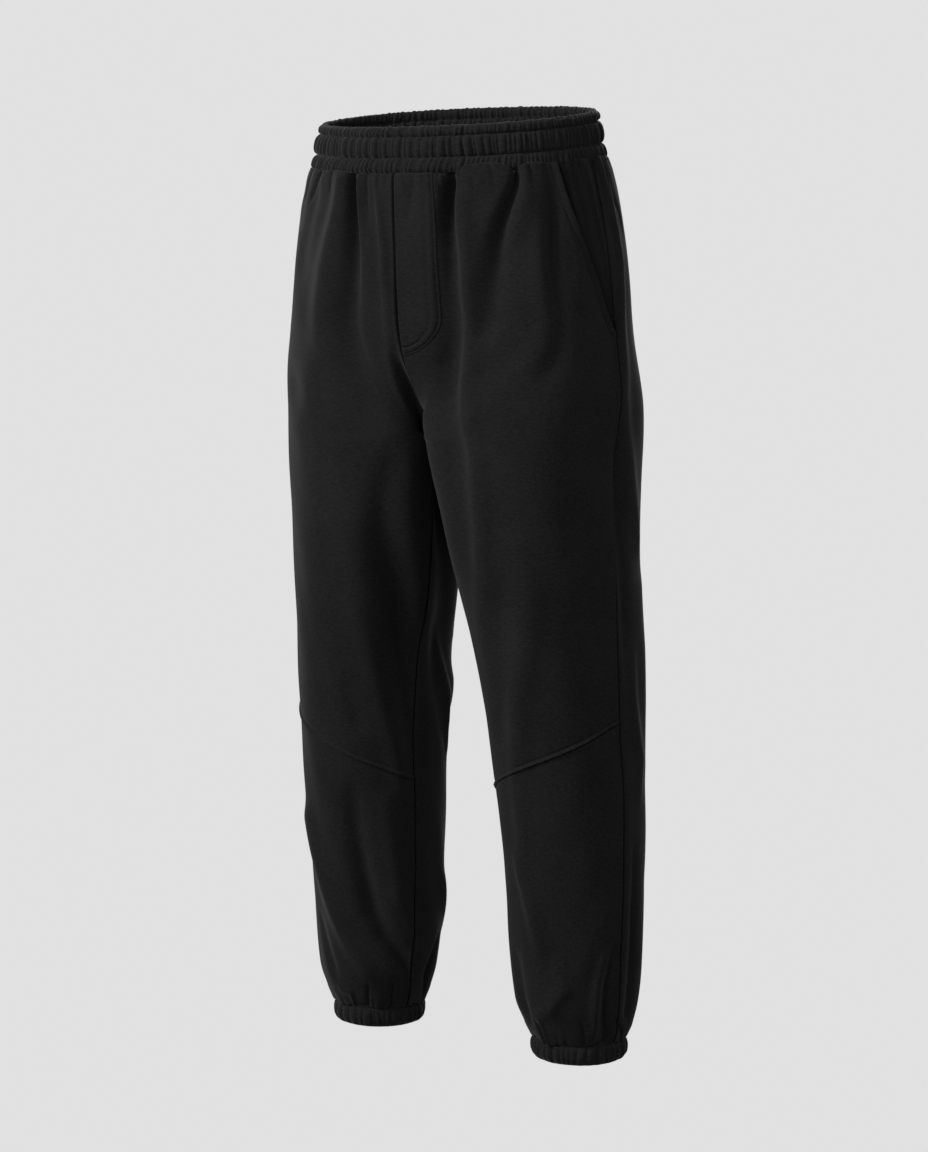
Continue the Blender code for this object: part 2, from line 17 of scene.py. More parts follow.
import bpy
import numpy as np
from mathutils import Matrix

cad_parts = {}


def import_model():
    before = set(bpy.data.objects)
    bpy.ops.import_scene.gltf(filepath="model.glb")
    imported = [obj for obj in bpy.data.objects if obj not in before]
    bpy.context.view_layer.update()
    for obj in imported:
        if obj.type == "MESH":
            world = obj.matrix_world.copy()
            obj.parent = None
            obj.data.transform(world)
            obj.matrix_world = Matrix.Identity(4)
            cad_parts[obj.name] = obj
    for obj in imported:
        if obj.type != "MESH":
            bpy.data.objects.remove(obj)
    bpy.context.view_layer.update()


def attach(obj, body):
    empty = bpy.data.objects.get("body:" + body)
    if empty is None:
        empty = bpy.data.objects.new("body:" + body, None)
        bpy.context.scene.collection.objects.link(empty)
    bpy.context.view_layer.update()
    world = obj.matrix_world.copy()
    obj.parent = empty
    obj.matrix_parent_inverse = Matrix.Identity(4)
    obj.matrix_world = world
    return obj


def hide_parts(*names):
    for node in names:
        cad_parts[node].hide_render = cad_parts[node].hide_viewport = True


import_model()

LOG = logging.getLogger("jogger_sweatpants")
MM = 0.001
Array = np.ndarray


class Side(Enum):
    """The wearer's side, with what X is multiplied by to reach it from the left half."""

    LEFT = 1.0
    RIGHT = -1.0

    @property
    def label(self) -> str:
        """The side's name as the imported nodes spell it."""
        return self.name.lower()


class Profile(Enum):
    """Section across a crease."""

    SOFT = "soft"
    SHARP = "sharp"
    STEP = "step"


# --------------------------------------------------------------------------- sizes of the garment

# Drops in metres: the waistband's seam, the row where the legs begin to part, the row that runs into
# the crotch and how deep the crotch lies there, and the cuff's seam and lower edge.
WAISTBAND = 0.0486
ARCH_TOP = 0.200
CROTCH_ROW = 0.360
CROTCH = 0.335
CUFF_TOP = 0.980
CUFF_END = 1.007
# The knee seam at its two ends, how far it bows down and the cosine of its slant, and the lower
# end of the pocket mouth.
KNEE_AT_OUTSEAM = 0.632
KNEE_AT_INSEAM = 0.721
KNEE_BOW = 0.004
KNEE_SLANT = 0.95
POCKET_END = 0.2275
# The rows' bend between the legs: how far it reaches below the crotch, how closely it keeps to the
# centre seams, and how far the sides turn in as the legs part, in radians.
INSEAM_DROP = 0.100
ARCH_REACH = 7.0
PARTING_ANGLE = 0.30
# Slope of the rim from front to back, and the drop at which the rows lie level again.
RIM_TILT = 0.122
RIM_TILT_END = 0.250
# Metres of cloth in one turn, as the creases count them and on the cloth's own map.
TURN_LENGTH = 0.230
MAP_TURN = 0.27
# The cloth's thickness and half of the line that stays open at a sewn seam.
FLEECE = 1.8 * MM
HALF_GAP = 0.01 * MM
# The seam allowance inside the waistband: its height, how much deeper it lies and where it bends.
ALLOWANCE = 2.5 * MM
ALLOWANCE_DEPTH = 1.6 * MM
ALLOWANCE_BEND = 1.2 * MM
# How far the cloth swells out above a cuff and rides down over its seam, in mm.
HEM_SWELL = 2.2
HEM_RIDE = 4.6
# How far from a centre seam the creases are held to the seam's plane, in mm.
CENTRE_REACH = 5


# Level sections of the body: drop, half width, reach to the front and to the back, and the
# exponents of their curves, 2 for an ellipse.
TORSO = (
    (0.000, 0.161, 0.107, 0.101, 2.25, 2.15),
    (0.025, 0.166, 0.108, 0.102, 2.25, 2.15),
    (0.049, 0.173, 0.110, 0.105, 2.30, 2.15),
    (0.062, 0.180, 0.111, 0.112, 2.35, 2.15),
    (0.090, 0.187, 0.111, 0.121, 2.50, 2.15),
    (0.150, 0.197, 0.109, 0.130, 2.70, 2.15),
    (0.220, 0.204, 0.104, 0.133, 2.90, 2.15),
    (0.300, 0.209, 0.101, 0.133, 2.90, 2.15),
    (0.380, 0.210, 0.099, 0.132, 2.90, 2.15),
)
# Level sections of a leg: drop, X and Y of its middle, reach out, in, to the front and to the back,
# and the exponent of its inner half.
LEG = (
    (0.300, 0.108, 0.000, 0.101, 0.108, 0.105, 0.130, 3.4),
    (0.360, 0.110, 0.001, 0.097, 0.110, 0.104, 0.123, 3.4),
    (0.430, 0.114, 0.004, 0.093, 0.106, 0.101, 0.113, 2.8),
    (0.500, 0.119, 0.008, 0.090, 0.096, 0.096, 0.101, 2.2),
    (0.600, 0.127, 0.012, 0.086, 0.082, 0.088, 0.090, 2.0),
    (0.700, 0.132, 0.019, 0.083, 0.076, 0.079, 0.082, 2.0),
    (0.800, 0.136, 0.025, 0.077, 0.076, 0.072, 0.077, 2.0),
    (0.900, 0.137, 0.027, 0.072, 0.071, 0.065, 0.070, 2.0),
    (0.940, 0.137, 0.028, 0.068, 0.066, 0.062, 0.066, 2.0),
    (0.968, 0.138, 0.031, 0.059, 0.056, 0.055, 0.058, 2.0),
    (0.980, 0.138, 0.032, 0.051, 0.048, 0.048, 0.049, 2.0),
    (0.998, 0.138, 0.032, 0.050, 0.047, 0.047, 0.048, 2.0),
    (1.004, 0.138, 0.032, 0.048, 0.045, 0.045, 0.046, 2.0),
    (1.007, 0.138, 0.032, 0.044, 0.041, 0.041, 0.042, 2.0),
)
# Turns of the inseam and of the outseam, after their drop.
SEAMS = (
    (0.000, 0.000, 1.000),
    (0.360, 0.000, 1.000),
    (0.400, 0.055, 0.997),
    (0.450, 0.095, 0.987),
    (0.550, 0.090, 0.969),
    (0.630, 0.080, 0.957),
    (0.720, 0.090, 0.949),
    (0.800, 0.097, 0.936),
    (0.880, 0.100, 0.930),
    (0.960, 0.088, 0.945),
    (1.007, 0.084, 0.955),
)
# The folded edge of a front panel along the pocket mouth: drop, then turn.
MOUTH = (
    (0.040, 0.724),
    (0.080, 0.745),
    (0.110, 0.772),
    (0.140, 0.812),
    (0.170, 0.868),
    (0.200, 0.922),
    (0.222, 0.982),
    (POCKET_END, 1.000),
)


def read_rows(rows: Sequence[Sequence[float]], place: Array) -> Array:
    """Read a table at given places, on a smooth curve through its rows with no overshoot.

    Cubic Hermite curves join the rows. The tangent at a row is the harmonic mean of the slopes on
    its two sides, and level where they have opposite signs.

    Args:
        rows: the table; its first column is the place of each row.
        place: where to read it.

    Returns:
        One array for each further column, stacked along the first axis.
    """
    table = np.array(rows, dtype=float)
    knots, values = table[:, 0], table[:, 1:]
    place = np.clip(np.asarray(place, dtype=float), knots[0], knots[-1])
    step = np.diff(knots)[:, None]
    slope = np.diff(values, axis=0) / step
    before, after = slope[:-1], slope[1:]
    same_way = before * after > 0
    mean = 2 * before * after / np.where(same_way, before + after, 1.0)
    tangent = np.concatenate([slope[:1], np.where(same_way, mean, 0.0), slope[-1:]])
    at = np.clip(np.searchsorted(knots, place, side="right") - 1, 0, len(step) - 1)
    span = step[at]
    s = (place - knots[at])[..., None] / span
    curve = (1 + 2 * s) * (1 - s) ** 2 * values[at] + s * s * (3 - 2 * s) * values[at + 1]
    curve = curve + s * (1 - s) ** 2 * span * tangent[at] + s * s * (s - 1) * span * tangent[at + 1]
    return np.moveaxis(curve, -1, 0)


def smooth_step(value: Array) -> Array:
    """Ease from 0 to 1 with level ends: 3v^2 - 2v^3 of the value held to 0..1."""
    held = np.clip(value, 0, 1)
    return held * held * (3 - 2 * held)


def bump(distance: Array, centre: float, width: float) -> Array:
    """A bell 1 high, exp(-((distance - centre) / width)^2)."""
    return np.exp(-(((distance - centre) / width) ** 2))


def oval(angle: Array, exponent: Array) -> tuple[Array, Array]:
    """A point of a superellipse: cosine and sine of the angle over (|cos|^e + |sin|^e)^(1/e).

    Args:
        angle: angles in radians.
        exponent: its exponent e, 2 for a circle.

    Returns:
        Both as arrays.
    """
    cosine, sine = np.cos(angle), np.sin(angle)
    reach = (np.abs(cosine) ** exponent + np.abs(sine) ** exponent) ** (-1 / exponent)
    return cosine * reach, sine * reach


class Form:
    """The surface that every piece of the left half lies on.

    Attributes:
        small: step over which slopes are taken, in turns and in metres.
    """

    small = 2e-4

    def torso(self, turn: Array, drop: Array, parting: Array) -> tuple[Array, Array]:
        """X and Y of the body: a superellipse whose sides are drawn in over the legs.

        Args:
            turn: turns of the places.
            drop: their drops.
            parting: how far the legs have parted there, 0 to 1.

        Returns:
            X and Y.
        """
        half_width, front, back, square_front, square_back = read_rows(TORSO, drop)
        exponent = np.where(turn < 1, square_front, square_back)
        angle = turn * math.pi / 2 - PARTING_ANGLE * parting * np.sin(turn * math.pi)
        forward, outward = oval(angle, exponent)
        return half_width * outward, -np.where(turn < 1, front, back) * forward

    def leg(self, turn: Array, drop: Array) -> tuple[Array, Array]:
        """X and Y of a leg: four quarters of superellipses, once round from the inside.

        Args:
            turn: turns of the places.
            drop: their drops.

        Returns:
            X and Y.
        """
        middle_x, middle_y, outer, inner, front, back, square = read_rows(LEG, drop)
        angle = turn * math.pi
        inward, forward = oval(angle, np.where(np.cos(angle) > 0, square, 2.0))
        across = np.where(inward > 0, inner, outer)
        return middle_x - across * inward, middle_y - np.where(forward > 0, front, back) * forward

    def point(self, turn: Array, drop: Array) -> Array:
        """Points of the surface.

        The body's section turns into the leg's between ARCH_TOP and CROTCH_ROW: at the centre
        seams as 1 - cos, so that they bend round to the crotch, and elsewhere as a smooth step.
        Rows bend up between the legs. The rim is tilted, higher at the back.

        Args:
            turn: turns round the half.
            drop: drops below the rim.

        Returns:
            Points, with X, Y and Z on the last axis.
        """
        turn, drop = np.broadcast_arrays(np.asarray(turn, float), np.asarray(drop, float))
        inward = np.cos(turn * math.pi / 2) ** 2
        past = np.clip((drop - ARCH_TOP) / (CROTCH_ROW - ARCH_TOP), 0, 1)
        arch = past * math.pi / 2
        nearness = inward**ARCH_REACH
        parting = smooth_step(past)
        leg_share = (1 - np.cos(arch)) * nearness + parting * (1 - nearness)
        over_arch = ARCH_TOP + (CROTCH - ARCH_TOP) * np.sin(arch)
        below = np.clip(1 - (drop - CROTCH_ROW) / INSEAM_DROP, 0, 1) ** 2
        inside = np.where(drop < CROTCH_ROW, over_arch, drop - (CROTCH_ROW - CROTCH) * below)
        inside = np.where(drop < ARCH_TOP, drop, inside)
        down = drop + (inside - drop) * inward
        torso_x, torso_y = self.torso(turn, down, parting)
        leg_x, leg_y = self.leg(turn, down)
        x = (1 - leg_share) * torso_x + leg_share * leg_x
        y = (1 - leg_share) * torso_y + leg_share * leg_y
        tilt = RIM_TILT * np.clip(1 - drop / RIM_TILT_END, 0, 1)
        return np.stack([x, y, tilt * y - down], axis=-1)

    def normal(self, turn: Array, drop: Array, level: bool = False) -> Array:
        """Directions straight out of the surface: the cross product of its two slopes.

        Args:
            turn: turns of the places.
            drop: their drops.
            level: True for directions held level.

        Returns:
            Unit directions.
        """
        e = self.small
        across = self.point(turn + e, drop) - self.point(turn - e, drop)
        down = self.point(turn, drop + e) - self.point(turn, drop - e)
        out = np.cross(across, -down)
        if level:
            out[..., 2] = 0
        return out / np.linalg.norm(out, axis=-1, keepdims=True)

    def turns_per_metre(self, turn: Array, drop: Array) -> Array:
        """How many turns a metre of cloth takes up across a place, from the slope there.

        Args:
            turn: turns of the places.
            drop: their drops.

        Returns:
            Turns for each metre.
        """
        e = self.small
        across = self.point(turn + e, drop) - self.point(turn - e, drop)
        return 2 * e / np.linalg.norm(across, axis=-1)


FORM = Form()


# ------------------------------------------------------------------------------------- creases


class Knot(NamedTuple):
    """A point of a crease: its place, its width and how far it lifts the cloth, both in mm."""

    turn: float
    drop: float
    width: float
    height: float


@dataclass(frozen=True)
class Crease:
    """A ridge, above zero, or a trough, below it, along a path on the cloth.

    Attributes:
        sides: the sides that have it.
        profile: its section.
        fade: how far it runs out past its first and last knots, in mm.
        knots: its path.
    """

    sides: tuple[Side, ...]
    profile: Profile
    fade: tuple[float, float]
    knots: tuple[Knot, ...]

    def lift(self, turn: Array, drop: Array) -> Array:
        """How far it moves the cloth out, in metres.

        The nearest leg of the path gives the distance beside it, q widths, and its width and
        height there, between those of its knots. The section is exp(-q^2) for SOFT, exp(-1.7 |q|)
        with a rounded tip for SHARP, and 2.33 q exp(-q^2) for STEP. Past an end it fades as a bell.

        Args:
            turn: turns of the points.
            drop: drops of the points.

        Returns:
            Heights in metres.
        """
        rows = np.array(self.knots, dtype=float)
        path = rows[:, :2] * [TURN_LENGTH / MM, 1 / MM]
        spot = np.stack([turn * TURN_LENGTH, drop], axis=-1) / MM
        nearest = np.full(spot.shape[:-1], np.inf)
        height = np.zeros(spot.shape[:-1])
        last = len(path) - 2
        for i, (start, end) in enumerate(zip(path[:-1], path[1:])):
            run = end - start
            length = math.hypot(*run)
            away = spot - start
            along = (away @ run) / length
            beside = (away[..., 0] * run[1] - away[..., 1] * run[0]) / length
            before, after = np.maximum(-along, 0), np.maximum(along - length, 0)
            joint = (before if i else 0) + (after if i < last else 0)
            past = (0 if i else before / self.fade[0]) + (0 if i < last else after / self.fade[1])
            away_by = beside**2 + before**2 + after**2
            share = np.clip(along / length, 0, 1)
            width = rows[i, 2] + (rows[i + 1, 2] - rows[i, 2]) * share
            rise = rows[i, 3] + (rows[i + 1, 3] - rows[i, 3]) * share
            q = np.copysign(np.hypot(beside, joint), beside) / width
            here = rise * self.section(q) * np.exp(-(past**2))
            height = np.where(away_by < nearest, here, height)
            nearest = np.minimum(nearest, away_by)
        return height * MM

    def section(self, q: Array) -> Array:
        """The section by its profile's formula, which lift gives in words.

        Args:
            q: distances beside the crease, in widths.

        Returns:
            Shares of the crease's height.
        """
        if self.profile is Profile.SOFT:
            return np.exp(-(q**2))
        if self.profile is Profile.SHARP:
            return np.exp(-1.7 * (np.sqrt(q**2 + 0.05) - math.sqrt(0.05)))
        return 2.33 * q * np.exp(-(q**2))

    def reach(self) -> tuple[float, float, float, float]:
        """How far it can lift, 3.2 widths and 2.2 fades away.

        Returns:
            The lowest and highest turn, and the lowest and highest drop.
        """
        rows = np.array(self.knots, dtype=float)
        far = (3.2 * rows[:, 2].max() + 2.2 * max(self.fade)) * MM
        turns, drops = rows[:, 0], rows[:, 1]
        across = far / TURN_LENGTH
        return turns.min() - across, turns.max() + across, drops.min() - far, drops.max() + far


L, R = (Side.LEFT,), (Side.RIGHT,)
BOTH = (Side.LEFT, Side.RIGHT)


def crease(sides: tuple[Side, ...], profile: Profile, before: float, after: float,
           *rows: tuple[float, float, float, float]) -> Crease:
    """A crease from a row of the table below.

    Args:
        sides: the sides that have it.
        profile: its section.
        before: how far it fades out before its first knot, in mm.
        after: how far it fades out past its last knot, in mm.
        rows: for each knot its turn in thousandths, and its drop, width and height in mm.

    Returns:
        The crease.
    """
    knots = (Knot(turn / 1000, drop / 1000, width, height) for turn, drop, width, height in rows)
    return Crease(sides, profile, (before, after), tuple(knots))


SOFT, SHARP, STEP = Profile.SOFT, Profile.SHARP, Profile.STEP
CREASES = tuple(crease(*row) for row in (
    # Right front: the deep pleat, which opens into a soft valley down the thigh.
    (R, SOFT, 5, 30, (226, 47, 2.8, -7), (216, 58, 3.4, -14), (208, 70, 4.2, -15), (204, 87, 5, -15),
     (202, 108, 6, -15), (200, 135, 7, -14.4), (200, 160, 8, -13.4), (204, 190, 9.4, -11.4),
     (222, 225, 12, -9.4), (258, 262, 16, -7.6), (312, 302, 20, -6.2), (342, 338, 22, -4.6),
     (320, 377, 22, -3.2)),
    (R, SOFT, 5, 20, (272, 58, 7, 2.8), (280, 90, 9.5, 4.8), (304, 140, 12, 7.4), (320, 190, 13, 7.2),
     (344, 235, 14, 5.4)),
    (R, SOFT, 24, 26, (455, 210, 20, 2.4), (475, 250, 24, 4), (475, 310, 26, 5), (450, 380, 26, 4.4),
     (405, 450, 24, 3.8), (372, 520, 22, 2.6)),
    # Right front: small pleats between the deep one and the fly.
    (R, SHARP, 5, 8, (193, 47, 1.6, -2.6), (190, 62, 2.6, -1.4)),
    (R, SOFT, 5, 14, (172, 56, 3.2, 1.8), (167, 79, 3.4, 2.2), (158, 104, 4, 1.8), (143, 125, 5, 1.4)),
    (R, SHARP, 5, 14, (138, 47, 2, -3.4), (133, 66, 3.2, -3.2), (126, 95, 5.5, -2.2)),
    (R, SOFT, 5, 20, (80, 56, 3.4, 2.4), (65, 87, 4.2, 3.8), (53, 118, 5, 4.6), (44, 152, 5.6, 4.8),
     (36, 195, 6.4, 4.4), (42, 222, 6.4, 3.4), (64, 245, 6.4, 3), (86, 268, 7, 2)),
    (R, SHARP, 5, 8, (72, 47, 1.6, -2.4), (68, 64, 2.6, -1.5)),
    (R, SHARP, 5, 6, (30, 47, 1.4, -1.9), (34, 60, 2.2, -1)),
    # Right front: near the outside, a short slanting crease and long shallow ones.
    (R, SHARP, 5, 8, (330, 47, 1.8, -2), (332, 62, 3, -1.2)),
    (R, SHARP, 5, 10, (428, 47, 2, -3), (470, 72, 4.2, -2.6)),
    (R, SOFT, 14, 24, (440, 80, 9, -2.2), (470, 150, 14, -2.2)),
    (R, SHARP, 5, 10, (560, 47, 2, -2.8), (566, 70, 4, -1.8)),
    (R, SHARP, 5, 12, (660, 47, 2.2, -3.4), (650, 78, 4.8, -2.6)),
    (R, SOFT, 16, 26, (600, 110, 14, -3), (640, 200, 18, -2.4)),
    (R, SOFT, 16, 22, (395, 235, 13, 2.6), (500, 277, 14, 3.2), (575, 313, 14, 2)),
    # Right: the valley that runs into the crotch, and creases that fan out from there.
    (R, SOFT, 12, 22, (36, 238, 5, -3), (33, 262, 6.2, -8), (38, 287, 7.6, -12), (56, 312, 9.4, -14),
     (80, 337, 12, -17), (56, 372, 18, -21), (28, 410, 20, -22), (-20, 450, 22, -22), (-60, 500, 23, -19),
     (-80, 550, 23, -13), (-80, 600, 22, -6)),
    (R, SOFT, 18, 26, (266, 386, 10, -4.2), (282, 406, 11, -6), (284, 430, 11, -7.4), (272, 452, 12, -8),
     (247, 476, 12, -8), (212, 507, 12, -8), (184, 540, 12, -8), (154, 582, 12, -8), (125, 622, 12, -7.2),
     (102, 663, 12, -5.6), (92, 703, 12, -3.2)),
    (R, SOFT, 18, 20, (196, 386, 10, 2.8), (190, 420, 10, 3.8), (172, 450, 10, 4.4), (136, 492, 10, 4.2),
     (104, 540, 11, 3)),
    (R, SOFT, 24, 18, (372, 440, 14, 3.2), (350, 495, 14, 4.6), (330, 540, 13, 4.6), (298, 575, 12, 4.4),
     (262, 612, 12, 4.6), (222, 645, 11, 4.6), (185, 685, 10, 4), (168, 725, 10, 2.6)),
    # Right knee.
    (R, SOFT, 12, 12, (380, 618, 11, -2.6), (350, 655, 11, -2.6)),
    (R, SOFT, 12, 16, (236, 745, 11, 2.6), (220, 795, 11, 3.6), (190, 850, 10, 2.8)),
    # Left front: the valley beside the fly and the sharp ridge that runs from it down the thigh.
    (L, SOFT, 4, 20, (262, 47, 3.6, -6), (247, 58, 5, -17), (231, 72, 5.8, -20), (221, 90, 6.4, -20),
     (218, 110, 7.2, -18), (223, 140, 8.6, -13.4), (218, 170, 10, -11.4), (216, 205, 12, -12),
     (226, 245, 15, -14.6), (280, 275, 16, -15)),
    (L, SOFT, 12, 26, (294, 80, 7.2, 3.2), (296, 108, 8.2, 4.8), (286, 149, 8.8, 5.6), (274, 190, 9, 6),
     (282, 222, 9, 6.2), (347, 257, 9, 6.4), (447, 306, 9, 6.6), (482, 365, 9.4, 6.6), (482, 397, 9.8, 6.6),
     (473, 431, 10, 6.2), (458, 456, 10.5, 5.6), (445, 490, 11, 4.8), (385, 550, 12, 2.8)),
    (L, SOFT, 14, 18, (335, 298, 13, -10), (390, 340, 12, -7.4), (400, 389, 12, -6), (390, 460, 13, -4)),
    # Left front: the slanting pleat and the hollow beside it.
    (L, SOFT, 4, 18, (534, 47, 2.4, -5), (526, 57, 3, -10), (498, 70, 4.4, -12.6), (464, 85, 5.6, -13.4),
     (431, 103, 6.8, -13.6), (405, 125, 7.8, -12.6), (390, 147, 8.8, -11), (374, 170, 9.8, -9),
     (350, 205, 11, -6)),
    (L, SOFT, 5, 14, (556, 54, 6, 2), (534, 80, 7.5, 2.6), (494, 110, 9, 2.4)),
    (L, SOFT, 14, 24, (572, 78, 12, 3), (572, 120, 14, 5.4), (568, 180, 15, 5.6), (580, 240, 17, 3.6)),
    (L, SOFT, 12, 22, (676, 66, 6.6, -3.6), (668, 87, 7.2, -6), (642, 113, 7.8, -8), (618, 143, 8.4, -8.2),
     (609, 176, 9, -7.2), (612, 201, 10, -5.4), (645, 245, 11, -2.4)),
    (L, SOFT, 12, 16, (742, 112, 7, 1.6), (746, 150, 8, 2), (734, 180, 8, 1.6)),
    # Left front: small pleats at the waist seam.
    (L, SOFT, 5, 10, (40, 50, 4.6, 1.2), (44, 66, 4.8, 1.2)),
    (L, SHARP, 5, 12, (104, 47, 2, -2.8), (90, 66, 3.8, -2.6), (68, 95, 5.2, -1.4)),
    (L, SHARP, 5, 8, (200, 47, 1.6, -2.6), (203, 64, 2.8, -1.6)),
    (L, SHARP, 5, 8, (224, 47, 1.5, -2), (222, 58, 2.4, -1.1)),
    (L, SHARP, 5, 10, (300, 47, 1.8, -2.4), (292, 62, 3, -1.7)),
    (L, SHARP, 5, 8, (352, 47, 1.6, -1.5), (348, 58, 2.6, -0.8)),
    (L, SHARP, 5, 8, (420, 47, 1.8, -1.9), (424, 58, 2.8, -1)),
    (L, SHARP, 5, 8, (590, 47, 1.8, -2), (586, 60, 2.8, -1.1)),
    (L, SHARP, 5, 10, (665, 47, 2, -2.6), (660, 64, 3.4, -1.6)),
    # Left hip: on the facing, and behind the outseam down to the thigh.
    (L, SOFT, 6, 12, (835, 50, 4, -1.6), (818, 74, 4.5, -2), (836, 107, 5, -1.4)),
    (L, SOFT, 6, 14, (922, 60, 3.6, 1.4), (942, 100, 4.2, 2), (966, 135, 4.4, 2), (978, 165, 4, 1.2)),
    (L, SOFT, 8, 20, (1118, 62, 4, 1.8), (1110, 85, 5, 2.4), (1112, 112, 6.4, 3), (1120, 149, 7.6, 3.6),
     (1086, 189, 8.6, 4), (1052, 221, 9.2, 4.4), (1032, 254, 9.6, 4.6), (1014, 287, 9.8, 4.6),
     (1024, 320, 9.8, 4.4), (1054, 354, 9.8, 4.2), (1097, 397, 9.8, 3.8), (1140, 440, 9.6, 2.8)),
    (L, SOFT, 8, 14, (1062, 54, 5, 1.6), (1078, 85, 6, 2.2), (1092, 110, 6, 1.6)),
    (L, SHARP, 5, 8, (1142, 52, 2.4, -1.8), (1146, 83, 3, -2.2), (1198, 103, 3.4, -2),
     (1204, 121, 3, -1.2)),
    (L, STEP, 4, 6, (1006, 113.5, 1.6, 1.6), (1045, 112.5, 1.8, 1.8), (1075, 112, 2, 1.2)),
    (R, SOFT, 8, 26, (1105, 62, 4, 1.8), (1100, 105, 5, 2.6), (1112, 160, 6, 2.6), (1095, 225, 7, 1.8)),
    (R, SOFT, 8, 16, (1215, 52, 3.4, -2), (1205, 90, 5.5, -2.4), (1190, 130, 7, -1.6)),
    # Left thigh and knee.
    (L, SOFT, 20, 24, (622, 445, 14, 3), (634, 492, 14, 4.6), (607, 533, 13, 5), (568, 575, 12, 5.4),
     (538, 605, 12, 5.2), (503, 647, 12, 4.6), (477, 686, 11, 4.2), (466, 715, 11, 3.6),
     (460, 750, 11, 3.4), (452, 785, 11, 2.2)),
    (L, SOFT, 26, 30, (875, 327, 20, -2.4), (905, 403, 22, -3.2), (880, 539, 22, -3), (880, 640, 20, -2.6)),
    (L, SOFT, 22, 24, (530, 490, 12, -2), (485, 560, 13, -2.6), (405, 640, 12, -2)),
    (L, SOFT, 16, 24, (1010, 320, 5, -2), (1014, 360, 6, -3.4), (1018, 420, 7, -4.6), (1020, 480, 7, -4.8),
     (1016, 540, 6, -3.6), (1010, 600, 5, -2)),
    (L, SOFT, 20, 20, (1200, 500, 18, 2.2), (1200, 560, 20, 3.6), (1200, 620, 20, 3.2),
     (1200, 680, 18, 1.4)),
    # Left: the fullness above the crotch and the hollow that the leg has below it.
    (L, SOFT, 14, 10, (165, 280, 14, 2.4), (172, 300, 14, 4.6), (180, 320, 14, 2.4)),
    (L, SOFT, 14, 10, (225, 352, 26, -0.8), (228, 366, 26, -3.4), (228, 383, 26, -6.6),
     (228, 402, 26, -7.4), (225, 420, 26, -6.2), (225, 440, 25, -4.8), (222, 460, 24, -2.8),
     (220, 478, 22, -0.9)),
    # Below the right knee.
    (R, SOFT, 18, 16, (720, 775, 14, 5.4), (655, 806, 14, 7), (572, 847, 14, 7.6), (514, 876, 14, 7.4),
     (443, 908, 13, 6.4), (372, 932, 11, 4.2)),
    (R, SOFT, 18, 14, (394, 742, 12, -6), (392, 780, 13, -10), (376, 813, 13, -13), (350, 841, 13, -14),
     (314, 870, 13, -14), (255, 895, 12, -12), (168, 920, 11, -8.4), (125, 940, 10, -4.4)),
    (R, SOFT, 12, 12, (200, 848, 7.5, 2.4), (146, 872, 8, 3.4), (118, 893, 7.5, 2.6)),
    (R, SOFT, 14, 14, (660, 892, 9, -3), (590, 938, 9, -3.6)),
    (R, SOFT, 5, 5, (550, 963.5, 3.4, 2.4), (478, 965.5, 3.6, 3), (478, 975.5, 3, 2)),
    (R, SHARP, 6, 4, (355, 960, 3, -2.6), (368, 978, 3, -3.4)),
    (R, SHARP, 6, 4, (205, 954, 3, -2.6), (200, 976, 3, -3.4)),
    # Below the left knee.
    (L, SOFT, 14, 16, (425, 788, 9, 3.6), (458, 810, 10, 5.4), (480, 828, 11, 6.4), (503, 850, 11, 6),
     (517, 872, 11, 4.2)),
    (L, SOFT, 12, 12, (606, 898, 10, 3), (628, 919, 10, 5.2), (560, 941, 8.5, 5), (452, 955, 7, 3.2)),
    (L, SOFT, 12, 7, (828, 890, 6, 3.6), (798, 917, 6, 4.6), (792, 946, 6, 4.4), (790, 962, 5, 3.4)),
    (L, SOFT, 14, 6, (880, 885, 8, -3.4), (856, 917, 8, -5), (852, 947, 8, -6), (868, 972, 7, -4.4)),
    (L, SOFT, 18, 10, (1014, 780, 6, -3), (1018, 850, 7, -4.6), (1026, 900, 9, -5.4),
     (1030, 950, 10, -5.6)),
    (L, SOFT, 14, 12, (330, 900, 11, -3.4), (360, 948, 9, -4)),
    (L, SOFT, 5, 4, (478, 962, 3.2, 2.4), (483, 970, 3.2, 2.6), (493, 979, 3, 1.8)),
    (L, SHARP, 6, 4, (445, 962, 3, -3), (455, 977, 3, -3.6)),
    (L, SHARP, 6, 4, (720, 962, 3, -2.6), (735, 978, 3, -3.4)),
    (L, SHARP, 8, 4, (940, 958, 3, -2.6), (1035, 977, 3, -3.4)),
    # Behind the outseams lower down.
    (L, SOFT, 16, 18, (1040, 570, 8, 2.4), (1036, 603, 9, 3.6), (1048, 632, 9, 4.4), (1066, 654, 9, 4.4),
     (1100, 674, 9, 3.6), (1070, 710, 9, 2.4)),
    (R, SOFT, 18, 22, (1050, 340, 15, 3.4), (1170, 450, 16, 4.4)),
    (R, SOFT, 18, 22, (1030, 580, 14, 3.6), (1170, 665, 14, 4.4)),
    # Backs: pleats under the waistband, folds below the seat and behind the knees.
    (L, SOFT, 5, 26, (1376, 47, 2.6, -0.6), (1380, 62, 3.4, -4), (1388, 85, 5, -6), (1410, 140, 10, -4.6)),
    (R, SOFT, 5, 26, (1528, 47, 2.6, -0.6), (1522, 62, 3.4, -4), (1510, 88, 5.4, -6),
     (1474, 155, 11, -4.6)),
    (L, SOFT, 5, 22, (1700, 47, 2.4, -4), (1694, 78, 4.6, -4), (1676, 120, 8, -2.8)),
    (R, SOFT, 5, 22, (1270, 47, 2.4, -4), (1276, 78, 4.6, -4), (1290, 120, 8, -2.8)),
    (BOTH, SOFT, 22, 22, (1850, 250, 18, 4.2), (1730, 325, 19, 5.4), (1600, 400, 18, 4.4)),
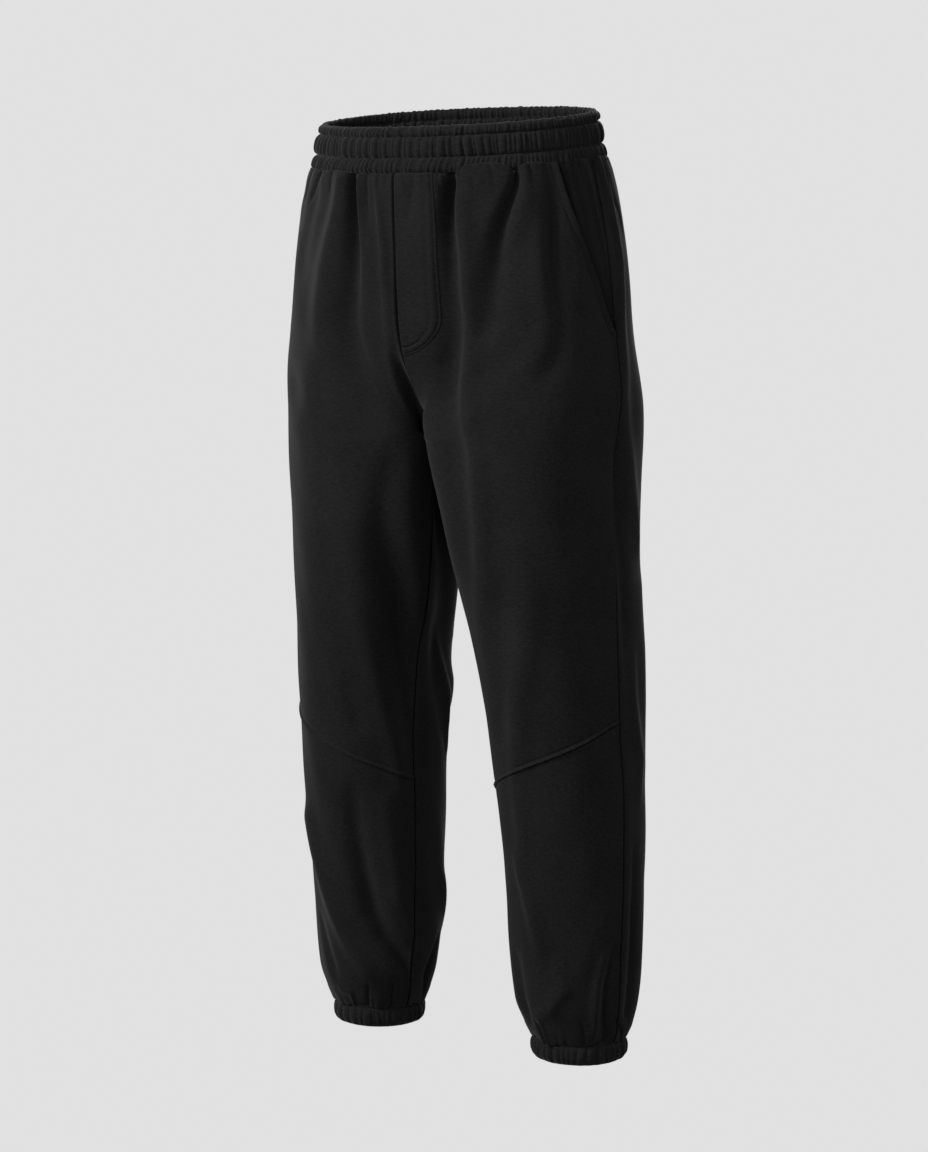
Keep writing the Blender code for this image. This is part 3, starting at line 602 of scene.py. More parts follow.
    (BOTH, SOFT, 20, 20, (1820, 335, 13, -3.8), (1700, 400, 14, -5), (1560, 470, 14, -3.8)),
    (BOTH, SOFT, 18, 18, (1900, 350, 8, 2.4), (1820, 405, 9.5, 3.4), (1720, 455, 10, 2.4)),
    (L, SOFT, 20, 22, (1720, 630, 13, 3.8), (1530, 700, 14, 5.2), (1350, 742, 13, 4)),
    (L, SOFT, 20, 20, (1640, 712, 12, -3.8), (1470, 765, 13, -5), (1300, 800, 12, -3.6)),
    (R, SOFT, 20, 22, (1780, 620, 13, 3.8), (1620, 672, 14, 4.8), (1460, 712, 13, 3.6)),
    (R, SOFT, 20, 20, (1720, 674, 12, -3.8), (1560, 728, 13, -5), (1400, 762, 12, -3.8)),
    (R, SOFT, 12, 14, (1936, 578, 5, 2), (1892, 607, 5.5, 3.4), (1852, 637, 5.5, 3.6),
     (1822, 663, 5.5, 3.2), (1816, 690, 5.5, 2.2)),
    (R, SOFT, 16, 16, (2000, 560, 11, -3), (1966, 621, 11, -4.2), (1900, 660, 10, -3.2)),
    (R, SOFT, 24, 16, (1780, 460, 28, -6), (1780, 500, 30, -11), (1780, 535, 30, -6),
     (1780, 570, 28, -1.6)),
    (R, SOFT, 20, 18, (1850, 850, 12, 3.8), (1700, 900, 12, 5), (1530, 938, 11, 4)),
    (R, SOFT, 10, 10, (1890, 916, 6, -3.4), (1932, 930, 6, -4.4), (1970, 948, 6, -4.4), (1942, 966, 5, -3)),
    (L, SOFT, 20, 18, (1400, 830, 12, 4), (1550, 885, 13, 5.2), (1700, 932, 11, 4)),
    (L, SOFT, 16, 14, (1300, 870, 10, -3.2), (1420, 930, 9, -4)),
))


class Pinch(NamedTuple):
    """How the spacing, depth and length of a row of seeded gathers may vary, in mm."""

    spacing: tuple[float, float]
    depth: tuple[float, float]
    length: tuple[float, float]


WAIST_PINCH = Pinch((8, 17), (1.4, 3.4), (8, 38))
HEM_PINCH = Pinch((8, 18), (0.9, 2.2), (5, 15))
# Rows of gathers: seed, first turn, end, mm of cloth in a turn, the seam's drop, which way they
# run from it, and their sizes. The waist has one on each facing and one on each back.
GATHERS = (
    (40, 0.78, 0.99, 225, WAISTBAND, 1, WAIST_PINCH),
    (50, 1.02, 1.98, 225, WAISTBAND, 1, WAIST_PINCH),
    (70, 0.02, 2.02, 152, CUFF_TOP, -1, HEM_PINCH),
)


def gathers(side: Side, seed: int, start: float, end: float, turn_mm: float, seam: float,
            way: float, pinch: Pinch) -> list[Crease]:
    """Short uneven pleats along a seam, where the cloth is drawn in.

    Args:
        side: the side they are on.
        seed: what their sizes are drawn from.
        start: turn of the first.
        end: turn that the last stays short of.
        turn_mm: length of one turn at the seam.
        seam: drop of the seam.
        way: 1 for pleats that run down from it, -1 for pleats that run up.
        pinch: the ranges of their sizes.

    Returns:
        The pleats.
    """
    pick = np.random.default_rng(seed)
    found, turn = [], start
    while turn < end:
        depth = pick.uniform(*pinch.depth)
        length = pinch.length[0] + (pinch.length[1] - pinch.length[0]) * pick.random() ** 2.2
        slant = pick.normal(0, 0.22) * length * MM / TURN_LENGTH
        wide = 1.3 + 0.35 * depth
        knots = (
            Knot(turn, seam - way * 2 * MM, wide, -depth),
            Knot(turn + 0.4 * slant, seam + way * 0.4 * length * MM, wide * 1.5, -0.8 * depth),
            Knot(turn + slant, seam + way * length * MM, wide * 2.6, -0.35 * depth),
        )
        found.append(Crease((side,), Profile.SHARP, (4.0, 0.3 * length + 3), knots))
        turn += pick.uniform(*pinch.spacing) / turn_mm
    return found


class Relief:
    """How far the creases, gathers and slight unevenness move the cloth out."""

    def __init__(self) -> None:
        """Gather every crease of each side."""
        self.creases: dict[Side, list[Crease]] = {}
        for number, side in enumerate(Side):
            self.creases[side] = [row for row in CREASES if side in row.sides]
            for seed, *sizes in GATHERS:
                self.creases[side] += gathers(side, seed + number, *sizes)

    def height(self, side: Side, turn: Array, drop: Array) -> Array:
        """Sum of the creases at each place, and of a few long waves.

        Below the crotch turn 0 and turn 2 meet on the inside of the leg, so each crease is also
        read one whole leg further round, as far as the place is below it.

        Args:
            side: the side of the garment.
            turn: turns of the points.
            drop: drops of the points.

        Returns:
            Heights in metres.
        """
        turn, drop = np.broadcast_arrays(np.asarray(turn, float), np.asarray(drop, float))
        total = self.waves(side, turn, drop)
        round_leg = smooth_step((drop - CROTCH_ROW) / 0.04)
        for row in self.creases[side]:
            low, high, top, bottom = row.reach()
            for shift in (0, 2, -2):
                if shift and (bottom < CROTCH_ROW or not (low < 0.2 or high > 1.8)):
                    continue
                moved = turn + shift
                near = (moved > low) & (moved < high) & (drop > top) & (drop < bottom)
                if near.any():
                    part = row.lift(moved[near], drop[near])
                    total[near] += part * (round_leg[near] if shift else 1.0)
        return total

    def waves(self, side: Side, turn: Array, drop: Array) -> Array:
        """Slight unevenness: cosines 30 to 120 mm long in mixed directions, 0.15 to 0.4 mm high.

        They are stretched down the leg, and a quarter as high at the waistband and at the cuffs.

        Args:
            side: the side of the garment.
            turn: turns of the places.
            drop: their drops.

        Returns:
            Heights in metres.
        """
        pick = np.random.default_rng(7 if side is Side.LEFT else 8)
        across, total = turn * TURN_LENGTH, np.zeros(turn.shape)
        for length in (0.120, 0.090, 0.070, 0.055, 0.042, 0.036, 0.030):
            angle, phase = pick.uniform(0, math.pi), pick.uniform(0, 2 * math.pi)
            along = across * math.cos(angle) + 0.45 * drop * math.sin(angle)
            total += 0.28 * MM * (length / 0.07) ** 0.7 * np.cos(2 * math.pi * along / length + phase)
        settle = np.clip((drop - WAISTBAND) / 0.03, 0, 1) * np.clip((CUFF_TOP - drop) / 0.03, 0, 1)
        return total * (0.25 + 0.75 * settle)


RELIEF = Relief()


# ------------------------------------------------------------------------------ meshes of pieces


def stations(near: Sequence[float], far: Sequence[float], count: int) -> tuple[Array, Array, Array]:
    """Lines of a grid that lie at set distances from its two edges, and evenly between them.

    Args:
        near: distances from the first edge in mm, from 0 up.
        far: distances from the second edge in mm, from 0 up.
        count: number of even steps between them.

    Returns:
        For each line its distance from the first edge and from the second edge in metres, and
        the share of the second edge in its place.
    """
    even = np.linspace(0, 1, count + 1)[1:-1]
    first = np.concatenate([near, np.full(len(even) + len(far), near[-1])]) * MM
    second = np.concatenate([np.full(len(near) + len(even), far[-1]), far[::-1]]) * MM
    return first, second, np.concatenate([np.zeros(len(near)), even, np.ones(len(far))])


def make_piece(name: str, points: Array, quads: Array, uv: Array,
               finish: bpy.types.Material) -> bpy.types.Object:
    """Put a grid's points and quads into a mesh and its piece.

    Args:
        name: the piece's name.
        points: points, N by 3.
        quads: corners of each face, M by 4.
        uv: a place on the cloth for each point, in metres, N by 2.
        finish: its material.

    Returns:
        The piece, at the origin, riding on the root body.
    """
    mesh = bpy.data.meshes.new(name)
    mesh.vertices.add(len(points))
    mesh.vertices.foreach_set("co", np.ascontiguousarray(points, np.float32).ravel())
    corners = np.ascontiguousarray(quads, np.int32)
    mesh.loops.add(corners.size)
    mesh.loops.foreach_set("vertex_index", corners.ravel())
    mesh.polygons.add(len(corners))
    mesh.polygons.foreach_set("loop_start", np.arange(0, corners.size, 4, dtype=np.int32))
    mesh.polygons.foreach_set("loop_total", np.full(len(corners), 4, np.int32))
    mesh.polygons.foreach_set("use_smooth", np.ones(len(corners), bool))
    layer = mesh.uv_layers.new(name="cloth")
    layer.data.foreach_set("uv", np.ascontiguousarray(uv[corners.ravel()], np.float32).ravel())
    mesh.update(calc_edges=True)
    mesh.validate()
    mesh.materials.append(finish)
    piece = bpy.data.objects.new(name, mesh)
    bpy.context.scene.collection.objects.link(piece)
    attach(piece, "root")
    return piece


def grid_quads(number: Array) -> Array:
    """Quads of a grid of point numbers, each from its upper left corner down and round."""
    corners = [number[:-1, :-1], number[1:, :-1], number[1:, 1:], number[:-1, 1:]]
    return np.stack(corners, axis=-1).reshape(-1, 4)


def shell(name: str, outer: Array, inner: Array, uv: Array, mirrored: bool,
          finish: bpy.types.Material) -> bpy.types.Object:
    """A closed piece of cloth from the grids of its outside and its inside.

    Args:
        name: the piece's name.
        outer: rows by columns by 3.
        inner: the same, one wall further in.
        uv: rows by columns by 2.
        mirrored: True where the points are those of the left half mirrored.
        finish: its material.

    Returns:
        The piece.
    """
    rows, columns = outer.shape[:2]
    outside = np.arange(rows * columns).reshape(rows, columns)
    inside = outside + rows * columns
    rims = [
        (outside[0], inside[0]),
        (outside[-1, ::-1], inside[-1, ::-1]),
        (outside[:, -1], inside[:, -1]),
        (outside[::-1, 0], inside[::-1, 0]),
    ]
    closing = [np.stack([a[:-1], a[1:], b[1:], b[:-1]], axis=-1) for a, b in rims]
    quads = np.concatenate([grid_quads(outside), grid_quads(inside)[:, ::-1], *closing])
    points = np.concatenate([outer.reshape(-1, 3), inner.reshape(-1, 3)])
    places = np.concatenate([uv.reshape(-1, 2)] * 2)
    return make_piece(name, points, quads[:, ::-1] if mirrored else quads, places, finish)


def tube(name: str, points: Array, uv: Array, mirrored: bool,
         finish: bpy.types.Material) -> bpy.types.Object:
    """A ring closed both ways: sections as rows, and once round the ring as columns.

    Args:
        name: the piece's name.
        points: rows by columns by 3, with neither the first row nor the first column repeated.
        uv: rows by columns by 2.
        mirrored: True where the points are those of the left half mirrored.
        finish: its material.

    Returns:
        The piece.
    """
    rows, columns = points.shape[:2]
    number = np.pad(np.arange(rows * columns).reshape(rows, columns), ((0, 1), (0, 1)), mode="wrap")
    quads = grid_quads(number)
    quads = quads[:, ::-1] if mirrored else quads
    return make_piece(name, points.reshape(-1, 3), quads, uv.reshape(-1, 2), finish)


# ------------------------------------------------------------------------------------- finishes


def linear(code: str) -> tuple[float, float, float, float]:
    """Linear light from an sRGB colour: c / 12.92 up to 0.04045, then ((c + 0.055) / 1.055)^2.4.

    Args:
        code: the colour in hex, after a hash.

    Returns:
        Red, green, blue and alpha.
    """
    parts = [int(code[i : i + 2], 16) / 255 for i in (1, 3, 5)]
    red, green, blue = (p / 12.92 if p <= 0.04045 else ((p + 0.055) / 1.055) ** 2.4 for p in parts)
    return red, green, blue, 1.0


def empty_tree(owner: bpy.types.Material | bpy.types.World) -> bpy.types.NodeTree:
    """Turn nodes on and empty the tree.

    Args:
        owner: the material or the world.

    Returns:
        Its node tree.
    """
    owner.use_nodes = True
    owner.node_tree.nodes.clear()
    return owner.node_tree


def add_node(tree: bpy.types.NodeTree, kind: str, settings: dict | None = None,
             links: dict | None = None) -> bpy.types.Node:
    """Add a node with its settings and links.

    Args:
        tree: the material's or the world's node tree.
        kind: the node's type.
        settings: values for its own properties, or for its sockets where it has no such property.
        links: for each input socket, by name or number, the output that feeds it.

    Returns:
        The node.
    """
    node = tree.nodes.new(kind)
    for key, value in (settings or {}).items():
        if isinstance(key, str) and hasattr(node, key):
            setattr(node, key, value)
        else:
            node.inputs[key].default_value = value
    for key, output in (links or {}).items():
        tree.links.new(output, node.inputs[key])
    return node


@dataclass(frozen=True)
class Fleece:
    """Polyester and cotton fleece, knitted, brushed and dyed black.

    The eye gets a matt, deep black with a fine lie of nap, slightly banded across as knit is, and
    a soft pale bloom where the surface turns away, from the fibres that stand up.

    Attributes:
        name: the material's name.
        deep: colour between the fibres.
        lit: colour of the fibres' tips.
        bloom: weight of the sheen.
        nap: depth of the nap in mm.
    """

    name: str
    deep: str = "#141414"
    lit: str = "#242424"
    bloom: float = 0.16
    nap: float = 0.5

    def make(self) -> bpy.types.Material:
        """Three noises, of the nap, the knit and slow shade, in colour and height.

        Returns:
            The material.
        """
        material = bpy.data.materials.new(self.name)
        tree = empty_tree(material)
        place = add_node(tree, "ShaderNodeTexCoord")
        # Tufts of nap are about 0.4 mm across, drawn 2 mm across so that they show.
        nap = add_node(tree, "ShaderNodeTexNoise", {"Scale": 480.0, "Detail": 2.5, "Roughness": 0.65},
                       {"Vector": place.outputs["Object"]})
        # Courses of the knit lie 0.6 mm apart, drawn as streaks 2 mm high and 6 mm long.
        lie = add_node(tree, "ShaderNodeMapping", {"Scale": (170.0, 480.0, 1.0)},
                       {"Vector": place.outputs["UV"]})
        knit = add_node(tree, "ShaderNodeTexNoise", {"Scale": 1.0, "Detail": 1.5, "Roughness": 0.5},
                        {"Vector": lie.outputs["Vector"]})
        # The brushing leaves the shade uneven over a hand's width.
        slow = add_node(tree, "ShaderNodeTexNoise", {"Scale": 13.0, "Detail": 3.0, "Roughness": 0.55},
                        {"Vector": place.outputs["Object"]})
        fine = add_node(tree, "ShaderNodeMix", {"data_type": "FLOAT", 0: 0.45},
                        {2: nap.outputs[0], 3: knit.outputs[0]})
        shade = add_node(tree, "ShaderNodeMix", {"data_type": "FLOAT", 0: 0.22},
                         {2: fine.outputs[0], 3: slow.outputs[0]})
        tone = add_node(tree, "ShaderNodeMapRange", {1: 0.36, 2: 0.64}, {0: shade.outputs[0]})
        colour = add_node(tree, "ShaderNodeMix",
                          {"data_type": "RGBA", 6: linear(self.deep), 7: linear(self.lit)},
                          {0: tone.outputs[0]})
        rough = add_node(tree, "ShaderNodeMapRange", {3: 0.84, 4: 0.98}, {0: fine.outputs[0]})
        bumps = add_node(tree, "ShaderNodeBump", {"Strength": 0.6, "Distance": self.nap * MM},
                         {"Height": fine.outputs[0]})
        shader = add_node(tree, "ShaderNodeBsdfPrincipled",
                          {"IOR": 1.46, "Specular IOR Level": 0.16, "Sheen Weight": self.bloom,
                           "Sheen Roughness": 0.42, "Sheen Tint": linear("#CCCCCC")},
                          {"Base Color": colour.outputs[2], "Roughness": rough.outputs[0],
                           "Normal": bumps.outputs[0]})
        add_node(tree, "ShaderNodeOutputMaterial", {}, {"Surface": shader.outputs[0]})
        return material


@dataclass(frozen=True)
class Thread:
    """Spun polyester sewing thread, black, three plies twisted.

    The eye gets short raised dashes, smoother than the nap, that each catch a little light.

    Attributes:
        name: the material's name.
        colour: colour of its plies.
        between: colour between them.
    """

    name: str
    colour: str = "#1B1B1C"
    between: str = "#101010"

    def make(self) -> bpy.types.Material:
        """Fine slanting plies in height and a slight change of shade.

        Returns:
            The material.
        """
        material = bpy.data.materials.new(self.name)
        tree = empty_tree(material)
        place = add_node(tree, "ShaderNodeTexCoord")
        # Plies are 0.15 mm apart, drawn at 0.5 mm.
        plies = add_node(tree, "ShaderNodeTexWave",
                         {"Scale": 320.0, "Distortion": 1.5, "bands_direction": "DIAGONAL"},
                         {"Vector": place.outputs["Object"]})
        shade = add_node(tree, "ShaderNodeMix",
                         {"data_type": "RGBA", 6: linear(self.between), 7: linear(self.colour)},
                         {0: plies.outputs["Fac"]})
        bumps = add_node(tree, "ShaderNodeBump", {"Strength": 0.3, "Distance": 0.1 * MM},
                         {"Height": plies.outputs["Fac"]})
        shader = add_node(tree, "ShaderNodeBsdfPrincipled",
                          {"IOR": 1.53, "Roughness": 0.7, "Specular IOR Level": 0.2},
                          {"Base Color": shade.outputs[2], "Normal": bumps.outputs[0]})
        add_node(tree, "ShaderNodeOutputMaterial", {}, {"Surface": shader.outputs[0]})
        return material


# --------------------------------------------------------------------------------- seam reliefs

# Distances of a grid's lines from an edge, in mm: below the waistband, above a hem, at a pressed
# seam, at a hemmed edge and at the pocket mouth.
WAIST_ROWS = (0, 1.2, 2.2, 2.5, 2.9, 3.3, 3.8, 4.4, 5.1, 5.9, 6.8, 7.8, 9, 10.5, 12.2, 14.1, 16.3,
              18.8, 21.5, 24.5)
HEM_ROWS = (0, 0.5, 1.0, 1.6, 2.3, 3.1, 4.0, 5.1, 6.4, 8, 10, 12.3, 15, 18.2, 22)
SEAM_COLUMNS = (0, 0.4, 0.9, 1.5, 2.3, 3.3, 4.6, 6.4)
HEMMED = (0, 0.3, 0.8, 1.5, 2.5, 3.6, 4.4, 5.0, 5.7, 6.8, 8.6)
MOUTH_COLUMNS = (0, 0.3, 0.8, 1.6, 2.8, 4.2, 5.6, 6.6, 7.3, 7.9, 8.7, 10, 12)


def pressed_seam(distance: Array, over: bool = True) -> Array:
    """A plain seam pressed to one side: a thin deep groove, with a lip on the side that lies over.

    The groove is 2.8 exp(-(mm / 0.95)^2) deep. The side that lies over has a lip 0.8 mm high at
    2.5 mm, and the other side is lower by 0.9 exp(-(mm / 6)^2).

    Args:
        distance: distance from the seam in metres.
        over: True for the side that lies over.

    Returns:
        Heights in metres.
    """
    mm = distance / MM
    beside = 0.8 * bump(mm, 2.5, 1.4) if over else -0.9 * bump(mm, 0, 6.0)
    return (beside - 2.8 * bump(mm, 0, 0.95)) * MM


def topstitched(distance: Array, row: float, rise: float) -> Array:
    """A folded edge sewn down: it climbs from the row of stitches to the fold, and drops there.

    It is rise (1 - exp(-(mm / 0.6)^2)) high beside the fold and falls off as a smooth step to the
    stitches, which lie in a groove 0.3 rise exp(-((mm - row) / 0.9)^2) deep.

    Args:
        distance: distance in from the edge, in metres.
        row: how far in the stitches lie, in mm.
        rise: how far the layers under it raise its edge, in mm.

    Returns:
        Heights in metres.
    """
    mm = distance / MM
    climb = rise * (1 - np.exp(-((mm / 0.6) ** 2))) * (1 - smooth_step(mm / row))
    return (climb - 0.3 * rise * bump(mm, row, 0.9)) * MM


# Puffs of cloth just below the waistband: turn, how far they swell out and how far they ride up
# over the seam, both in mm.
WAIST_PUFFS = {
    Side.LEFT: (
        (0.00, 0.9, 0.4), (0.17, 1.2, 1.0), (0.225, 0.6, 0.3), (0.258, 0.2, 0.0), (0.290, 3.4, 5.0),
        (0.33, 5.0, 9.0), (0.40, 5.4, 10.4), (0.46, 5.0, 9.4), (0.502, 3.4, 6.0), (0.524, 0.8, 1.2),
        (0.548, 3.0, 5.6), (0.58, 4.4, 8.0), (0.64, 4.2, 8.0), (0.70, 3.2, 6.8), (0.735, 2.2, 6.0),
        (0.80, 2.8, 8.0), (0.90, 3.0, 7.8), (0.985, 2.2, 6.8), (1.00, 1.8, 6.2), (1.04, 2.4, 6.8),
        (1.12, 3.0, 6.4), (1.25, 3.0, 4.6), (1.376, 0.8, 1.6), (1.48, 3.4, 4.6), (1.62, 3.2, 4.0),
        (1.70, 1.0, 1.2), (1.82, 3.0, 3.8), (2.00, 2.0, 2.4),
    ),
    Side.RIGHT: (
        (0.00, 0.9, 0.4), (0.098, 1.5, 1.2), (0.17, 1.6, 1.4), (0.205, 0.6, 0.4), (0.224, 0.2, 0.0),
        (0.250, 2.6, 3.0), (0.30, 4.0, 4.6), (0.40, 3.6, 4.0), (0.43, 2.2, 2.4), (0.50, 3.4, 3.8),
        (0.56, 2.2, 2.4), (0.61, 3.2, 3.6), (0.66, 1.4, 1.4), (0.70, 2.6, 2.8), (0.735, 1.4, 2.0),
        (0.85, 2.2, 3.0), (0.985, 1.6, 2.4), (1.00, 1.2, 2.0), (1.06, 2.2, 2.8), (1.18, 3.0, 3.6),
        (1.27, 1.0, 0.8), (1.40, 3.4, 4.2), (1.528, 0.8, 0.6), (1.66, 3.4, 4.2), (1.85, 3.0, 3.4),
        (2.00, 2.0, 2.4),
    ),
}


@dataclass(frozen=True)
class Pull:
    """How a panel rolls over the seam of a band that draws it in.

    Attributes:
        tuck: how far its edge is tucked in, in mm.
        crest: distance from the seam at which it rides furthest over it, in mm.
        length: how far the swelling runs, in mm.
    """

    tuck: float
    crest: float
    length: float

    def shift(self, distance: Array, swell: Array, ride: Array) -> tuple[Array, Array]:
        """How far the roll moves the cloth out and back over the seam.

        Out: swell (1 - exp(-mm / 1.7)) times a bell and an exponential over its length, less the
        tuck. Back: ride (mm / crest) exp(1 - mm / crest), whose peak is one crest from the seam.

        Args:
            distance: distance from the seam in metres.
            swell: how far it swells, in mm.
            ride: how far it rides over the seam, in mm.

        Returns:
            Both shifts in metres.
        """
        mm = distance / MM
        fall = 0.6 * np.exp(-((mm / self.length) ** 2)) + 0.4 * np.exp(-mm / (1.3 * self.length))
        out = swell * (1 - np.exp(-mm / 1.7)) * fall - self.tuck * bump(mm, 0, 1.2)
        back = ride * (mm / self.crest) * np.exp(1 - mm / self.crest)
        return out * MM, back * MM


WAIST_PULL = Pull(tuck=2.0, crest=3.4, length=19.0)
HEM_PULL = Pull(tuck=1.8, crest=3.0, length=11.0)


# ---------------------------------------------------------------------------------------- panels


def inseam(drop: Array) -> Array:
    """Turn of the inseam."""
    return read_rows(SEAMS, drop)[0]


def outseam(drop: Array) -> Array:
    """Turn of the outseam."""
    return read_rows(SEAMS, drop)[1]


def mouth(drop: Array) -> Array:
    """Turn of the pocket mouth's folded edge."""
    return read_rows(MOUTH, drop)[0]


def knee(share: Array) -> Array:
    """Drop of the seam across the knee: a shallow bow from the inseam, 0, up to the outseam, 1."""
    straight = KNEE_AT_INSEAM + (KNEE_AT_OUTSEAM - KNEE_AT_INSEAM) * share
    return straight + KNEE_BOW * np.sin(np.asarray(share) * math.pi)


def after(seam: Array, drop: Array) -> Array:
    """Turn of the panel's edge just past a seam, half of its line away."""
    return seam + HALF_GAP * FORM.turns_per_metre(seam, drop)


def before(seam: Array, drop: Array) -> Array:
    """Turn of the panel's edge just short of a seam, half of its line away."""
    return seam - HALF_GAP * FORM.turns_per_metre(seam, drop)


@dataclass
class Panel:
    """A panel of fleece between four edges; unless it says otherwise, from inseam to outseam.

    Attributes:
        side: the wearer's side.
        finish: its material.
        top_rows: distances of its first rows from its upper edge, in mm.
        bottom_rows: distances of its last rows from its lower edge, in mm.
        rows: even steps down between them.
        left_columns: distances of its first columns from the edge at the lower turn, in mm.
        right_columns: distances of its last columns from the edge at the higher turn, in mm.
        columns: even steps across between them.
        label: what it is called.
        over: whether it lies over at its edge at the lower turn.
    """

    side: Side
    finish: bpy.types.Material
    top_rows: tuple[float, ...] = WAIST_ROWS
    bottom_rows: tuple[float, ...] = HEM_ROWS
    rows: int = 200
    left_columns: tuple[float, ...] = SEAM_COLUMNS
    right_columns: tuple[float, ...] = SEAM_COLUMNS
    columns: int = 105
    label: str = "panel"
    over: bool = True

    def left(self, drop: Array) -> Array:
        """Turn of the edge at the lower turn: the centre front and, below the crotch, the inseam."""
        return after(inseam(drop), drop)

    def right(self, drop: Array) -> Array:
        """Turn of the edge at the higher turn: the outseam."""
        return before(outseam(drop), drop)

    def top(self, share: Array) -> Array:
        """Drop of the upper edge at shares of the way across, a seam allowance up inside the band."""
        return np.full(np.shape(share), WAISTBAND - ALLOWANCE)

    def bottom(self, share: Array) -> Array:
        """Drop of the lower edge at shares of the way across."""
        return np.full(np.shape(share), CUFF_TOP - 2 * HALF_GAP)

    def share(self, turn: Array, drop: Array) -> Array:
        """Share of the way across from the inseam to the outseam."""
        return np.clip((turn - inseam(drop)) / (outseam(drop) - inseam(drop)), 0, 1)

    def relief(self, turn: Array, drop: Array) -> Array:
        """Heights of the panel's own edges and seams, in metres."""
        from_left, from_right = self.edge_distances(turn, drop)
        return pressed_seam(from_left, self.over) + pressed_seam(from_right)

    def edge_distances(self, turn: Array, drop: Array) -> tuple[Array, Array]:
        """How far a place lies from the two side edges, counted along the row.

        Args:
            turn: turns of the places.
            drop: their drops.

        Returns:
            Distances from the edges at the lower and at the higher turn, in metres.
        """
        left, right = self.left(drop), self.right(drop)
        return (
            (turn - left) / FORM.turns_per_metre(left, drop),
            (right - turn) / FORM.turns_per_metre(right, drop),
        )

    def grid(self) -> tuple[Array, Array]:
        """The panel's grid, with its lines closer together at its edges.

        Returns:
            Its turns and its drops.
        """
        first, second, share = stations(self.left_columns, self.right_columns, self.columns)
        above, under, down = stations(self.top_rows, self.bottom_rows, self.rows)
        middle = 0.5 * (self.top(share) + self.bottom(share)).mean()
        width = (self.right(middle) - self.left(middle)) / FORM.turns_per_metre(0.5, middle)
        at = (first * (1 - share) + (width - second) * share) / width
        top, bottom = self.top(at)[None, :], self.bottom(at)[None, :]
        above, under, down = above[:, None], under[:, None], down[:, None]
        drop = (top + above) * (1 - down) + (bottom - under) * down
        left, right = self.left(drop), self.right(drop)
        from_left = left + first * FORM.turns_per_metre(left, drop)
        from_right = right - second * FORM.turns_per_metre(right, drop)
        return from_left * (1 - share) + from_right * share, drop

    def skin(self, turn: Array, drop: Array) -> tuple[Array, Array]:
        """Outer points of the panel at any place, and the directions straight out there.

        The base surface is moved out by the creases and by the panel's own seams, and near a band
        it rolls over the seam, by 1 + cos(17 turn) cos(7 turn) / 2 times the mean at a cuff. Its
        seam allowance lies deeper, inside the waistband. At the centre seams the move has no
        sideways part, so that both halves meet.

        Args:
            turn: turns of the places.
            drop: drops of the places.

        Returns:
            Points and unit directions, mirrored for the right side.
        """
        turn, drop = np.broadcast_arrays(np.asarray(turn, float), np.asarray(drop, float))
        height = RELIEF.height(self.side, turn, drop) + self.relief(turn, drop)
        swell, ride = read_rows(WAIST_PUFFS[self.side], turn)
        waist_out, waist_up = WAIST_PULL.shift(np.maximum(drop - WAISTBAND, 0), swell, ride)
        uneven = 1.0 + 0.5 * np.cos(turn * 17.0 + self.side.value) * np.cos(turn * 7.0)
        above_cuff = np.maximum(CUFF_TOP - drop, 0)
        hem_out, hem_down = HEM_PULL.shift(above_cuff, HEM_SWELL * uneven, HEM_RIDE * uneven)
        tucked_in = ALLOWANCE_DEPTH * smooth_step((WAISTBAND - drop) / ALLOWANCE_BEND)
        out = FORM.normal(turn, drop)
        lift = height + waist_out + hem_out - tucked_in
        point = FORM.point(turn, drop) + out * lift[..., None]
        point[..., 2] += waist_up - hem_down
        from_centre = np.minimum(turn, 2 - turn) / FORM.turns_per_metre(turn, drop) / MM
        above_crotch = 1 - smooth_step((drop - CROTCH + 4 * MM) / (8 * MM))
        at_centre = bump(from_centre, 0, CENTRE_REACH) * above_crotch
        point[..., 0] = np.maximum(point[..., 0] - out[..., 0] * lift * at_centre, HALF_GAP)
        mirror = np.array([self.side.value, 1.0, 1.0])
        return point * mirror, out * mirror

    def build(self) -> bpy.types.Object:
        """Lay both skins of the panel on its grid, and close them round.

        Returns:
            The panel.
        """
        turn, drop = self.grid()
        outer, out = self.skin(turn, drop)
        inner = outer - out * FLEECE
        inner[..., 0] = self.side.value * np.maximum(inner[..., 0] * self.side.value, HALF_GAP)
        uv = np.stack([turn * MAP_TURN, -drop], axis=-1)
        name = f"{self.label}_{self.side.label}"
        return shell(name, outer, inner, uv, self.side is Side.RIGHT, self.finish)


